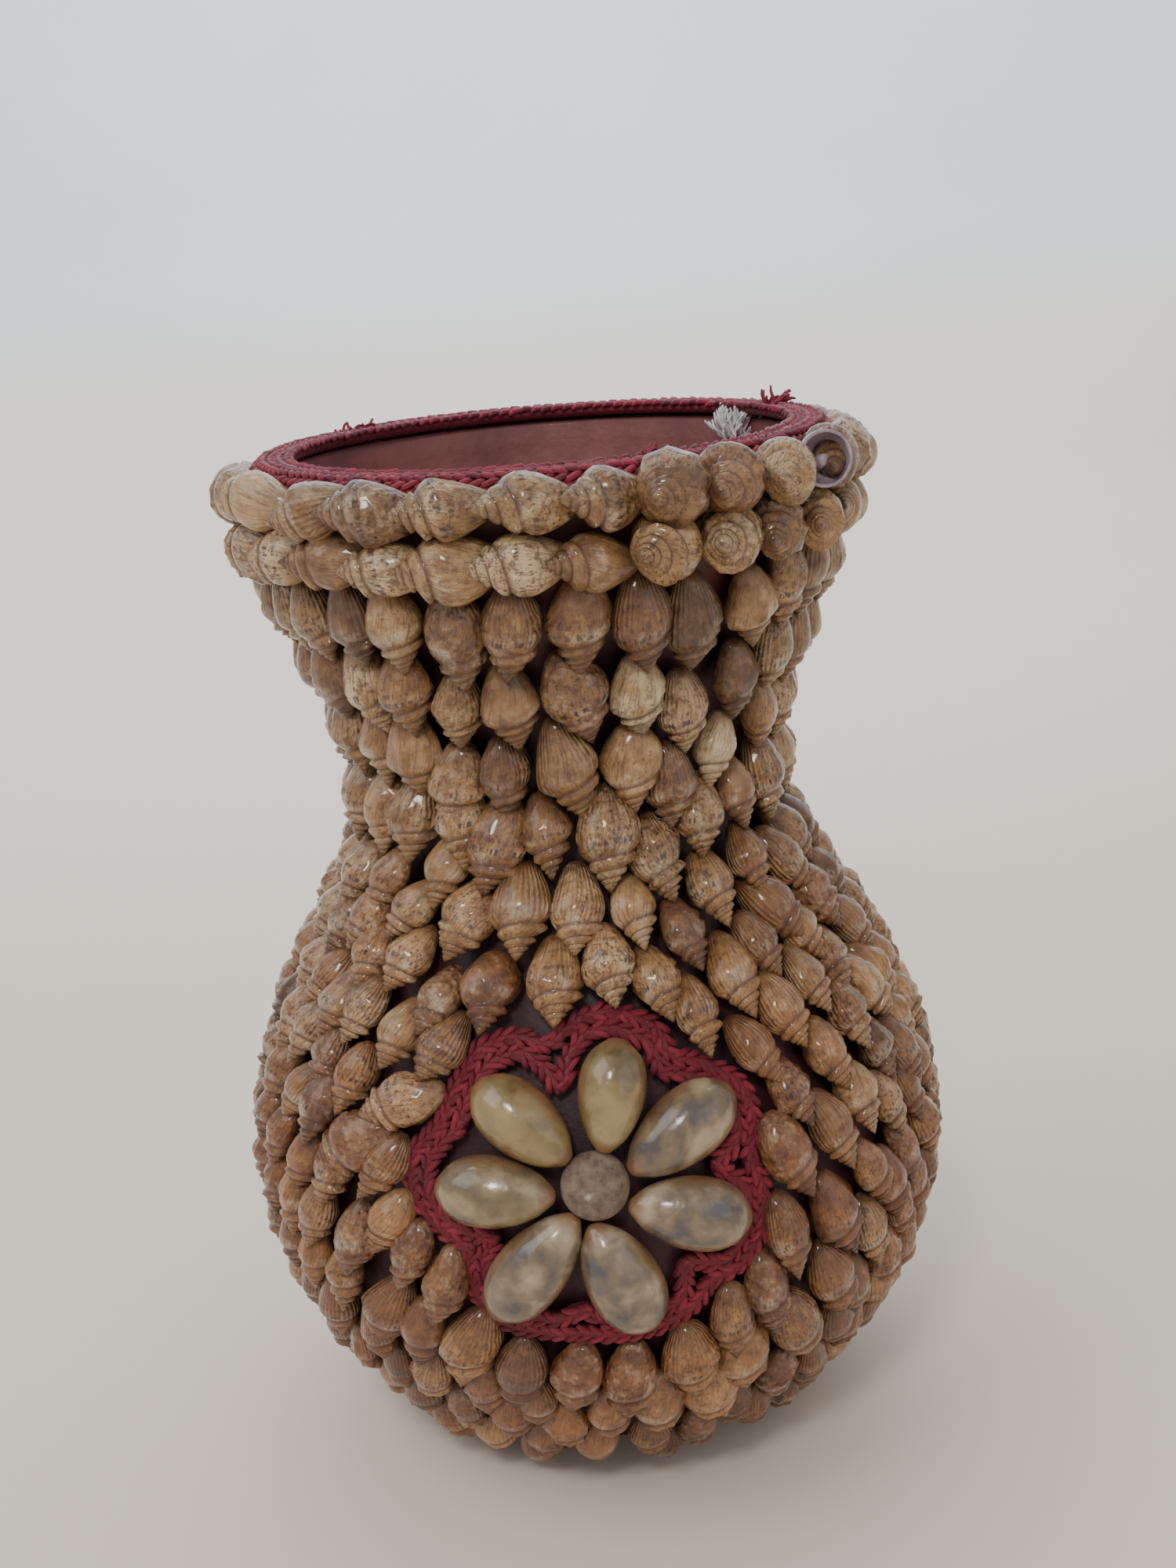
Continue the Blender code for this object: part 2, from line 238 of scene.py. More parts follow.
def band(tree, value, low, high):
    """0 below low, 1 above high, smooth between."""
    node = add(tree, "MapRange", {"interpolation_type": "SMOOTHSTEP"},
               Value=value, From_Min=low, From_Max=high, To_Min=0.0, To_Max=1.0)
    return node.outputs["Result"]


def mix(tree, factor, first, second, blend="MIX"):
    node = add(tree, "Mix", {"data_type": "RGBA", "blend_type": blend}, i0=factor, i6=first, i7=second)
    return node.outputs[2]


def noise_at(tree, vector, scale, detail=3.0, roughness=0.6, distortion=0.0):
    node = add(tree, "TexNoise", Vector=vector, Scale=scale, Detail=detail,
               Roughness=roughness, Distortion=distortion)
    return node.outputs["Fac"]


def object_place(tree):
    """Object coordinates, so that a pattern keeps its place and its size on every piece."""
    return add(tree, "TexCoord").outputs["Object"]


def new_material(name):
    material = bpy.data.materials.new(name)
    material.use_nodes = True
    tree = material.node_tree
    return material, tree, tree.nodes["Principled BSDF"]


def surface(tree, shader, base, roughness, height, distance, **constants):
    """Wire base colour, roughness and bump into the shader and set its plain values."""
    tree.links.new(base, shader.inputs["Base Color"])
    if isinstance(roughness, bpy.types.NodeSocket):
        tree.links.new(roughness, shader.inputs["Roughness"])
    else:
        shader.inputs["Roughness"].default_value = roughness
    bump = add(tree, "Bump", Height=height, Distance=distance, Strength=1.0)
    tree.links.new(bump.outputs["Normal"], shader.inputs["Normal"])
    for key, value in constants.items():
        shader.inputs[key.replace("_", " ")].default_value = value


# %% [markdown]
# ## A group for grime and worn glaze
# Old glue and dust lie on the vase in soft patches and dull its varnish. The paint, the
# shells and the yarn all need them, so they are one node group: it takes a colour and
# gives back the soiled colour and a mask for the roughness.

# %% The grime group
grime = bpy.data.node_groups.new("soft_grime", "ShaderNodeTree")
for way, name, kind in (("INPUT", "Colour", "Color"), ("INPUT", "Amount", "Float"), ("INPUT", "Patch Size", "Float"),
                        ("OUTPUT", "Colour", "Color"), ("OUTPUT", "Mask", "Float")):
    grime.interface.new_socket(name, in_out=way, socket_type="NodeSocket" + kind)
grime_in = grime.nodes.new("NodeGroupInput")
grime_out = grime.nodes.new("NodeGroupOutput")
grime_noise = noise_at(grime, object_place(grime), grime_in.outputs["Patch Size"], 5.0, 0.65)
grime_mask = product(grime, band(grime, grime_noise, 0.45, 0.75), grime_in.outputs["Amount"])
grime_colour = mix(grime, grime_mask, grime_in.outputs["Colour"], colour(92, 70, 55), "MULTIPLY")
grime.links.new(grime_colour, grime_out.inputs["Colour"])
grime.links.new(grime_mask, grime_out.inputs["Mask"])


def add_grime(tree, base, amount, size):
    """Place the group in a material: the soiled colour, and the mask for its roughness."""
    node = tree.nodes.new("ShaderNodeGroup")
    node.node_tree = grime
    tree.links.new(base, node.inputs["Colour"])
    node.inputs["Amount"].default_value = amount
    node.inputs["Patch Size"].default_value = size
    return node.outputs["Colour"], node.outputs["Mask"]


print("grime group:", [item.name for item in grime.interface.items_tree])

# %% [markdown]
# ## The painted wall
# Between the shells a satin plum-maroon paint shows. Low down its colour is painted nearly black,
# as painted shade where the shells shade it, and it stays redder below the rim. Inside the mouth
# the same paint is rosier and smoother, with faint upright runs. A vertex attribute tells inside
# from outside, so one material covers the turned wall.

# %% Paint for the wall
UNDER_RIM = (0.176, 0.188)

paint, tree, shader = new_material("plum_paint")
place = object_place(tree)
inside = add(tree, "Attribute", {"attribute_name": "inside"}).outputs["Fac"]
upright = add(tree, "Mapping", Vector=place, Scale=(90, 90, 12)).outputs["Vector"]
runs = noise_at(tree, upright, 1.0, 4.0)
under_rim = band(tree, add(tree, "SeparateXYZ", Vector=place).outputs["Z"], *UNDER_RIM)
rim_colour = ramp(tree, runs, [(0.3, colour(76, 34, 36)), (0.7, colour(116, 60, 56))])
# painted shade: low on the wall the outside paint is darkened where the shells shade it; below the rim it stays redder
shaded_low_paint = ramp(tree, runs, [(0.3, colour(44, 18, 22)), (0.7, colour(78, 34, 38))])
outside_colour = mix(tree, under_rim, shaded_low_paint, rim_colour)
inside_colour = ramp(tree, runs, [(0.3, colour(116, 66, 66)), (0.7, colour(138, 82, 80))])
painted = mix(tree, inside, outside_colour, inside_colour)
painted, paint_dirt = add_grime(tree, painted, 0.35, 60.0)
paint_rough = math_node(tree, "ADD", product(tree, paint_dirt, 0.3), 0.55)
surface(tree, shader, painted, paint_rough, noise_at(tree, place, 220.0), 0.0004, Coat_Weight=0.06)

# %% [markdown]
# ## The turned wall
# The real vase is thin and round. Its half section is drawn as a chain of edges, and one
# full spin turns it. The inner wall follows the outer one at the wall's thickness.

# %% Turn the wall
SPIN_STEPS = 96
PROFILE_STEPS = 44
# the inner wall is followed from this far above the floor
INNER_WALL_FROM = 0.002
# where the floor curves up: (inwards from the foot of the inner wall, up from the floor)
FLOOR_CURVE = ((0.004, 0.0), (0.001, 0.0007))
# the lip's round edge: (outwards from its inner face, downwards from its top), then the
# same from its outer face inwards
LIP_INNER_EDGE = ((0.0, LIP_ROUND), (0.0004, 0.0002), (LIP_ROUND, 0.0))
LIP_OUTER_EDGE = ((LIP_ROUND, 0.0), (0.0003, 0.0004))


def wall_profile():
    """Half section from floor to underside, and how many of its points are inside the vase."""
    heights = [(LIP_HEIGHT - LIP_ROUND) * i / PROFILE_STEPS for i in range(PROFILE_STEPS + 1)]
    outer = [(wall_radius(height), height) for height in heights]
    inner = [offset_point(height, -WALL) for height in heights]
    inner = [(r, z) for r, z in inner if FLOOR_THICKNESS + INNER_WALL_FROM < z < LIP_HEIGHT - LIP_ROUND]
    floor = [(0.0, FLOOR_THICKNESS)]
    floor += [(inner[0][0] - inwards, FLOOR_THICKNESS + upwards) for inwards, upwards in FLOOR_CURVE]
    lip = [(LIP_RADIUS - WALL + outwards, LIP_HEIGHT - down) for outwards, down in LIP_INNER_EDGE]
    lip += [(LIP_RADIUS - inwards, LIP_HEIGHT - down) for inwards, down in LIP_OUTER_EDGE]
    inside_points = len(floor) + len(inner) + len(LIP_INNER_EDGE) - 1
    return floor + inner + lip + outer[::-1] + [(0.0, 0.0)], inside_points


profile, inside_points = wall_profile()
bm = bmesh.new()
side = bm.verts.layers.float.new("inside")
chain = [bm.verts.new((radius, 0, height)) for radius, height in profile]
for index, vertex in enumerate(chain):
    vertex[side] = 1.0 if index < inside_points else 0.0
edges = [bm.edges.new(pair) for pair in zip(chain, chain[1:])]
bmesh.ops.spin(bm, geom=chain + edges, cent=(0, 0, 0), axis=(0, 0, 1), angle=math.tau,
               steps=SPIN_STEPS, use_merge=True)
bmesh.ops.remove_doubles(bm, verts=bm.verts, dist=0.00001)
bmesh.ops.recalc_face_normals(bm, faces=bm.faces)
finish_piece("turned_wall", bm, paint, ["vase_body"])

# %% [markdown]
# ## Colours of the glued shells
# Under one coat of varnish the shells run from cream to tan and brown. Each has fine
# streaks along its length, a ring or two of short dark dashes near the shoulder, specks,
# and brown in the seams between its whorls. Towards its nose each turns browner, partly its
# own colour and partly painted shade where the nose tucks under, and at the shoulder it is
# paler, partly its own colour and partly a painted highlight. Some are ridged along their
# length, with painted shade in the hollows between the ridges, and some are warty, their wart
# tops painted paler, partly their own colour and partly a painted highlight. A vertex colour
# carries each shell's tone, markings, warmth and warts; low on the belly the tone is lowered
# as painted shade and the warmth raised as painted orange light bounced from below. A UV map
# runs round the whorls and along the shell: its second value is 0 where the spire meets the
# body whorl, grows by 1 with each whorl of the spire, and falls to -1 at the nose.

# %% Varnished shell
shell_finish, tree, shader = new_material("varnished_shell")
place = object_place(tree)
own_tone = add(tree, "Attribute", {"attribute_name": "shell_tone"})
own = add(tree, "SeparateColor", Color=own_tone.outputs["Color"])
# the tone carries painted shade low on the belly, and the warmth painted orange light bounced from below, over each
# shell's own random tone and warmth
tone, marks, warmth, warts = own.outputs[0], own.outputs[1], own.outputs[2], own_tone.outputs["Alpha"]
whorls = add(tree, "SeparateXYZ", Vector=add(tree, "UVMap", {"uv_map": "whorls"}).outputs["UV"])
around, along = whorls.outputs["X"], whorls.outputs["Y"]
own_shift = product(tree, tone, 40.0)
slant = add(tree, "CombineXYZ", X=math_node(tree, "ADD", around, product(tree, along, 0.10)),
            Y=along, Z=own_shift).outputs["Vector"]


def within(value, low, high, soft):
    """Mask that is 1 between low and high."""
    return product(tree, band(tree, value, low - soft, low), opposite(tree, band(tree, value, high, high + soft)))


cloud = noise_at(tree, place, 230.0, 5.0, 0.65)
tone_value = math_node(tree, "ADD", tone, product(tree, math_node(tree, "SUBTRACT", cloud, 0.5), 1.5))
shell_colour = ramp(tree, tone_value, [(0.0, colour(100, 68, 42)), (0.33, colour(154, 114, 70)),
                                      (0.64, colour(188, 152, 102)), (1.0, colour(222, 196, 154))])
# the orange tint follows the warmth, so on the belly it is partly painted light bounced from below
warm_tint_and_bounce = mix(tree, product(tree, warmth, 0.8), shell_colour, colour(228, 168, 98), "MULTIPLY")
# towards the nose the colour turns browner: partly the shell's own colour, partly painted shade where the nose tucks
# under
towards_nose = opposite(tree, band(tree, along, -0.95, -0.45))
browned_and_shaded = mix(tree, product(tree, towards_nose, 0.45), warm_tint_and_bounce, colour(122, 84, 60))
# a paler band at the shoulder: partly the shell's own colour, partly a painted highlight where the shoulder faces out
pale = product(tree, within(along, -0.24, -0.06, 0.12), band(tree, cloud, 0.46, 0.66), 0.5)
shoulder_pale_and_lit = mix(tree, pale, browned_and_shaded, colour(214, 200, 178))

streak_map = add(tree, "Mapping", Vector=slant, Scale=(70, 2.4, 1)).outputs["Vector"]
streaks = noise_at(tree, streak_map, 1.0, 4.0, 0.7)
streaked = mix(tree, product(tree, band(tree, streaks, 0.48, 0.66), 0.7), shoulder_pale_and_lit, colour(104, 70, 44))
mottle = noise_at(tree, place, 620.0, 4.0, 0.7)
mottled = mix(tree, product(tree, band(tree, mottle, 0.50, 0.62), marks, 0.75), streaked, colour(98, 62, 40))
specks = band(tree, noise_at(tree, place, 1500.0, 2.0), 0.60, 0.68)
specked = mix(tree, product(tree, specks, band(tree, marks, 0.1, 0.6), 0.8), mottled, colour(68, 44, 32))

# %% Dashes, seams, warts and ridges on the shell
dash_place = add(tree, "CombineXYZ", X=product(tree, around, 52.0), Y=own_shift,
                 Z=product(tree, along, 3.0)).outputs["Vector"]
dashes = band(tree, noise_at(tree, dash_place, 1.0, 1.0, 0.4), 0.53, 0.60)
rings = math_node(tree, "MAXIMUM", within(along, -0.25, -0.19, 0.03),
                  product(tree, within(along, -0.40, -0.36, 0.02), 0.8))
dashed = mix(tree, product(tree, rings, dashes, band(tree, marks, 0.25, 0.7), 0.85), specked, colour(58, 36, 36))
from_seam = math_node(tree, "PINGPONG", along, 0.5)
seams = product(tree, opposite(tree, band(tree, from_seam, 0.01, 0.14)), band(tree, along, -0.12, 0.0))
seamed = mix(tree, product(tree, seams, 0.8), dashed, colour(96, 56, 36))
wart_cells = add(tree, "TexVoronoi", {"feature": "SMOOTH_F1"}, Vector=place, Scale=820.0).outputs["Distance"]
wart_tops = opposite(tree, band(tree, wart_cells, 0.1, 0.6))
# the wart tops are painted paler: partly their own colour, partly a painted highlight on the raised tops
warts_pale_and_lit = mix(tree, product(tree, wart_tops, warts, band(tree, cloud, 0.42, 0.62), 0.5), seamed, colour(212, 194, 166))
# the tone's own last digits choose which shells are ridged
ridged = band(tree, math_node(tree, "FRACT", product(tree, tone, 37.0)), 0.45, 0.8)
ridge_wave = math_node(tree, "PINGPONG", product(tree, around, 30.0), 0.5)
ridges = product(tree, ridge_wave, 2.0, ridged, within(along, -0.92, -0.16, 0.1))
# painted shade: on a ridged shell the hollows between the ridges are darkened
groove_shade_mask = product(tree, math_node(tree, "SUBTRACT", ridged, ridges), within(along, -0.9, -0.2, 0.1), 0.3)
groove_shaded = mix(tree, groove_shade_mask, warts_pale_and_lit, colour(112, 76, 48))
soiled, _ = add_grime(tree, groove_shaded, 0.5, 260.0)
shell_rough = math_node(tree, "ADD", product(tree, streaks, 0.3), 0.22)
fine_height = math_node(tree, "ADD", product(tree, streaks, 0.5), product(tree, mottle, 0.35))
coarse_height = math_node(tree, "ADD", product(tree, wart_tops, warts, 0.9), product(tree, ridges, 0.45))
shell_height = math_node(tree, "ADD", fine_height, coarse_height)
surface(tree, shader, soiled, shell_rough, shell_height, 0.0008, Coat_Weight=0.65, Coat_Roughness=0.11)

# %% [markdown]
# ## Growing a shell
# Strombs and whelks share one plan: a spire of whorls that each shrink by the same share,
# and a body whorl that swells at the shoulder and narrows to the nose. Every shell glued on
# a real vase is a different one, so none is a copy here: each starts as a sphere from
# bmesh, and every vertex is moved to its place on a shell with its own proportions.
#
# The seam between whorls climbs as it goes round. On the hidden glued side it climbs back,
# so the sphere stays closed and needs no patching.

# %% One shell from its proportions
COLUMNS = 22
DRAWN_TOGETHER = 0.35
# rows of vertices on each whorl of the spire, the widest whorl first
WHORL_STEPS = (
    (0.02, 0.16, 0.34, 0.52, 0.70, 0.87),
    (0.02, 0.20, 0.42, 0.62, 0.82),
    (0.03, 0.27, 0.54, 0.80),
    (0.05, 0.40, 0.72),
)
BODY_ROWS = 12
SIGHT_LIMIT = math.radians(118)
SEAM_SLANT = 1.6
SEAM_WIDTH = 0.08
SPIRE_KNOBS, SPIRE_KNOB_SPREAD = 0.7, 0.25
KNOB_ABOVE, KNOB_BELOW = 0.12, 0.36
NOSE_ROUNDS = (0.86, 1.02)
LIP_SIDE, LIP_SPREAD = math.radians(95), 0.73
UNDERSIDE_DEPTH = 0.8


def shell_rings():
    """Rows of vertices from the apex to the nose, as (on the spire, whorl coordinate)."""
    rings = []
    for whorl in range(len(WHORL_STEPS) - 1, -1, -1):
        rings += [(True, whorl + step) for step in reversed(WHORL_STEPS[whorl])]
    return rings + [(False, (row + 0.5) / BODY_ROWS) for row in range(BODY_ROWS)]


SHELL_RINGS = shell_rings()


def climb(angle):
    """Share of a whorl by which the seam has climbed; it climbs back out of sight."""
    if abs(angle) <= SIGHT_LIMIT:
        return angle / math.tau
    back = SIGHT_LIMIT / math.tau * (math.pi - abs(angle)) / (math.pi - SIGHT_LIMIT)
    return math.copysign(back, angle)


def shell_point(on_spire, place, angle, build):
    """A point of a shell one unit long: across, along from apex to nose, and outward."""
    turn = SEAM_SLANT * climb(angle)
    shrink = build["shrink"]
    ribs = math.cos(build["ribs"] * (angle + build["phase"]))
    if on_spire:
        along = build["spire"] * shrink ** (place - turn)
        part = place - math.floor(place + 1e-6)
        corner = build["corner"]
        flare = part / corner if part < corner else (1 - part) / (1 - corner)
        radius = build["spire_width"] * shrink ** (build["cone"] * (place - turn))
        radius *= 1 + build["ledge"] * (flare ** 0.8 - 0.5)
        radius *= 1 - build["seam"] * math.exp(-(min(part, 1 - part) / SEAM_WIDTH) ** 2)
        near_corner = math.exp(-((part - corner) / SPIRE_KNOB_SPREAD) ** 2)
        radius *= 1 + SPIRE_KNOBS * build["knob"] * max(-0.4, ribs) * near_corner
    else:
        start = build["spire"] * shrink ** (-turn)
        along = start + (1 - start) * place ** 1.08
        shoulder = build["shoulder"]
        neck = build["spire_width"] * shrink ** (-build["cone"] * turn)
        neck *= (1 - 0.5 * build["ledge"]) * (1 - build["seam"])
        past = max(0.0, (place - shoulder) / (1 - shoulder))
        taper = build["width"] * ((1 - past ** build["belly"]) * (1 - build["nose"]) + build["nose"])
        taper *= 1 - 0.45 * smooth_step(*NOSE_ROUNDS, place)
        radius = neck + (taper - neck) * (1 - max(0.0, 1 - place / shoulder) ** build["swell"])
        fade = KNOB_ABOVE if place < shoulder else KNOB_BELOW
        radius *= 1 + build["knob"] * max(-0.5, ribs) * math.exp(-((place - shoulder) / fade) ** 2)
        radius *= 1 + (build["lip"] * math.exp(-((angle - LIP_SIDE) / LIP_SPREAD) ** 2)
                       * smooth_step(0.0, 0.15, place) * (1 - smooth_step(0.8, 1, place)))
    across, outward = radius * math.sin(angle), radius * math.cos(angle)
    outward *= build["depth"] if outward > 0 else UNDERSIDE_DEPTH * build["depth"]
    return across + build["bend"] * max(along - 0.5, 0) ** 2, along, outward


def shell_build(rng, slim):
    """Draw the proportions of one shell; a slim one has a longer spire and a narrower body."""
    return {
        "spire": rng.uniform(0.28, 0.36) + 0.03 * slim,
        "shrink": rng.uniform(0.62, 0.68),
        "seam": rng.uniform(0.04, 0.10),
        "spire_width": rng.uniform(0.222, 0.252),
        "cone": rng.uniform(0.95, 1.06),
        "ledge": rng.uniform(0.15, 0.34),
        "width": rng.uniform(0.275, 0.312) - 0.02 * slim,
        "shoulder": rng.uniform(0.22, 0.42),
        "belly": rng.uniform(1.3, 1.8),
        "swell": rng.uniform(1.8, 2.8),
        "nose": rng.uniform(0.26, 0.38),
        "knob": rng.choice((0.0, 0.03, 0.07, 0.11)),
        "ribs": rng.choice((8, 9, 10, 11)),
        "phase": rng.uniform(0, 6),
        "corner": rng.uniform(0.35, 0.6),
        "bend": rng.uniform(-0.2, 0.3),
        "lip": rng.uniform(0.02, 0.12),
        "depth": 0.86,
    }


def column_angle(column):
    """Even columns drawn together towards the side that shows."""
    angle = math.remainder(math.tau * column / COLUMNS, math.tau)
    return angle - DRAWN_TOGETHER * math.sin(angle)


def shell_template():
    """A closed sphere whose rows are a shell's rows, with the map that runs round the whorls."""
    bm = bmesh.new()
    bmesh.ops.create_uvsphere(bm, u_segments=COLUMNS, v_segments=len(SHELL_RINGS) + 1, radius=1)
    whorl_map = bm.loops.layers.uv.new("whorls")
    bm.verts.layers.float_color.new("shell_tone")
    places = []
    for vertex in bm.verts:
        row = round(math.acos(max(-1.0, min(1.0, vertex.co.z))) / math.pi * (len(SHELL_RINGS) + 1))
        angle = column_angle(round(math.atan2(vertex.co.y, vertex.co.x) / math.tau * COLUMNS) % COLUMNS)
        if row == 0:
            places.append((None, float(len(WHORL_STEPS)), 0.0))
        elif row > len(SHELL_RINGS):
            places.append((None, -1.0, 0.0))
        else:
            places.append((*SHELL_RINGS[row - 1], angle))
    for face in bm.faces:
        corners = [places[loop.vert.index] for loop in face.loops]
        wraps = max(angle for *_, angle in corners) - min(angle for *_, angle in corners) > math.pi
        for loop, (on_spire, place, angle) in zip(face.loops, corners):
            along = -place if on_spire is False else place
            loop[whorl_map].uv = ((angle + (math.tau if wraps and angle < 0 else 0)) / math.tau + 0.5, along)
    mesh = bpy.data.meshes.new("shell_template")
    bm.to_mesh(mesh)
    bm.free()
    return mesh, places


SHELL_TEMPLATE, SHELL_PLACES = shell_template()


def add_shell(bm, nose, tip, out, build, tone):
    """Grow a shell between two points, its back towards out, and mark its tone."""
    length = (nose - tip).length
    along_axis = (nose - tip) / length
    across_axis = along_axis.cross(out).normalized()
    out_axis = across_axis.cross(along_axis)
    first = len(bm.verts)
    bm.from_mesh(SHELL_TEMPLATE)
    bm.verts.ensure_lookup_table()
    tones = bm.verts.layers.float_color["shell_tone"]
    for vertex, (on_spire, place, angle) in zip(bm.verts[first:], SHELL_PLACES):
        if on_spire is None:
            across, along, outward = 0.0, float(place < 0), 0.0
        else:
            across, along, outward = shell_point(on_spire, place, angle, build)
        vertex[tones] = tone
        vertex.co = tip + length * (across * across_axis + along * along_axis + outward * out_axis)


def new_shell_mesh():
    """An empty mesh with the layers that the shells bring."""
    bm = bmesh.new()
    bm.loops.layers.uv.new("whorls")
    bm.verts.layers.float_color.new("shell_tone")
    return bm


print("a shell has", 2 * COLUMNS * len(SHELL_RINGS), "triangles")

# %% [markdown]
# ## Where the flower is
# The flower's braid pushes the shells aside, so its outline is needed before any shell is
# placed. It has a lobe over each of the seven petals and uneven notches between them, was
# read off the photograph all the way round, and is laid over the round belly.

# %% The flower's outline
FLOWER_HEIGHT = 0.0797
BRAID_WIDTH = 0.0030
BRAID_STAND = 0.0023
FLOWER_DROP = drop_at(FLOWER_HEIGHT)
FLOWER_AZIMUTH = math.radians(-0.7)
# half a shell's width where it is widest, how far from nose to tip that is, and by how much
# a shell may lap over the braid
SHELL_HALF_WIDTH = 0.0046
WIDEST_AT = 0.4
LAP_ON_BRAID = 0.001
# angle in degrees clockwise from the top, then how far out the outer and the inner braid
# run there, in mm
BRAID_LINES = (
    (10, 32.3, 29.2), (24, 31.0, 28.0), (37, 26.8, 23.6), (50, 29.6, 26.6), (68, 32.6, 29.6), (80, 32.0, 28.6),
    (91, 29.6, 22.4), (104, 33.3, 30.0), (118, 34.8, 31.6), (129, 34.0, 30.8), (139, 30.6, 23.6),
    (152, 32.9, 29.7), (168, 33.3, 30.1), (180, 32.6, 29.2), (188, 32.0, 26.0), (200, 33.5, 30.1),
    (214, 35.4, 32.1), (226, 33.6, 30.4), (234, 31.4, 27.8), (242, 27.8, 22.2), (250, 31.6, 28.0),
    (258, 34.8, 31.4), (266, 36.4, 33.0), (276, 35.4, 31.9), (286, 31.8, 28.8), (293, 30.2, 26.8),
    (306, 31.0, 28.0), (322, 32.1, 29.0), (334, 31.2, 28.0), (340, 29.2, 24.4), (344, 27.6, 18.6),
    (348, 27.2, 19.4), (354, 29.4, 25.2), (2, 31.6, 28.4),
)


def braid_reach(angle, inner=False):
    """Distance from the flower's centre to the line of a braid, smooth between the table's places."""
    turned = (math.degrees(angle) - BRAID_LINES[0][0]) % 360
    places = [((line[0] - BRAID_LINES[0][0]) % 360, line[1 + inner] / 1000) for line in BRAID_LINES]
    places.append((360.0, places[0][1]))
    index = bisect.bisect_right([place for place, _ in places], turned)
    (before, near), (after, far) = places[index - 1], places[min(index, len(places) - 1)]
    return near + (far - near) * smooth_step(before, after, turned) if after > before else near


def on_flower(angle, reach, stand):
    """A point of the flower; angles run clockwise from straight up."""
    drop = FLOWER_DROP - reach * math.cos(angle)
    return on_wall(FLOWER_AZIMUTH + reach * math.sin(angle) / offset_point(height_at(drop), stand)[0], drop, stand)


def clear_of_flower(nose, tip):
    """Whether a shell between two (azimuth, drop) places stays off the flower's braid."""
    for share in (0.0, 0.25, 0.5, 0.75, 1.0):
        azimuth = nose[0] + share * (tip[0] - nose[0])
        drop = nose[1] + share * (tip[1] - nose[1])
        across, up = math.remainder(azimuth - FLOWER_AZIMUTH, math.tau) * radius_at(drop), FLOWER_DROP - drop
        edge = braid_reach(math.atan2(across, up)) + BRAID_WIDTH / 2
        half_width = SHELL_HALF_WIDTH * (1 - abs(2 * share - 2 * WIDEST_AT))
        if math.hypot(across, up) < edge + half_width - LAP_ON_BRAID:
            return False
    return True


print("flower centre", round(FLOWER_DROP * 1000, 1), "mm below the lip")
print("outer braid", round(braid_reach(0) * 1000, 1), "mm out at the top")

# %% [markdown]
# ## Seating the shells
# The shells are glued on in rings, from the rim down, each ring's spires lapping over the
# noses of the next. Round the flower the rings part like water round a stone, so a shell's
# lean comes from the flow round a disc. Shells whose places can be read off the photograph
# are seated first, and each ring is then filled up wherever there is room.

# %% Rings of shells
SHELL_LENGTH = 0.0190
FIRST_NOSE_DROP = 0.0148
NECK_PITCH = 0.0150
BELLY_PITCH = 0.0112
TIP_OVERLAP = 0.0059
FLOWER_TO_FULL_RING = 0.0427
TIP_STAND = 0.0066
NOSE_STAND = 0.0028
ROW_TIP_STAND = 0.0072
TIP_ABOVE_TABLE = 0.0008
FLOW_RADIUS = 0.034
FLOW_LEAST_DOWN = 0.15
UNDER_FLOWER_LEAN, UNDER_FLOWER_REACH = math.radians(420), 0.07
SHELL_SPACING = 0.0079
SEEN_SPACING = 0.0097
SEEN_AZIMUTH = math.radians(42)
PUSH_STEP, PUSH_TRIES = 0.0004, 16


def row_spans():
    """Nose and tip of each ring, as distances below the lip, as in the solids."""
    belly = []
    tip = neck_end = FLOWER_DROP - FLOWER_TO_FULL_RING
    while tip < LINE_DROPS[-1] and on_wall(0, tip, ROW_TIP_STAND).z > TIP_ABOVE_TABLE:
        belly.append((tip - BELLY_PITCH - TIP_OVERLAP, tip))
        tip += BELLY_PITCH
    first_tip = FIRST_NOSE_DROP + SHELL_LENGTH
    count = round((neck_end - first_tip) / NECK_PITCH)
    pitch = (neck_end - first_tip) / count
    length = min(SHELL_LENGTH, pitch + TIP_OVERLAP)
    rows = {f"neck_row_{i + 1}": (first_tip + i * pitch - length, first_tip + i * pitch) for i in range(count)}
    rows.update({f"belly_row_{i + 1:02d}": span for i, span in enumerate(belly)})
    return rows


def flow_lean(azimuth, drop):
    """Lean of a shell from straight down: like water round the flower, then fanning out below it."""
    across = math.remainder(azimuth, math.tau) * radius_at(drop)
    down = drop - FLOWER_DROP
    reach = max(math.hypot(across, down), FLOW_RADIUS)
    if down > 0:
        return UNDER_FLOWER_LEAN * across * math.exp(-(across / UNDER_FLOWER_REACH) ** 2)
    sideways = -2 * FLOW_RADIUS ** 2 * across * down / reach ** 4
    downwards = 1 - FLOW_RADIUS ** 2 * (down ** 2 - across ** 2) / reach ** 4
    return math.atan2(sideways, max(downwards, FLOW_LEAST_DOWN))


ROWS = row_spans()
print({name: [round(value * 1000, 1) for value in span] for name, span in ROWS.items()})

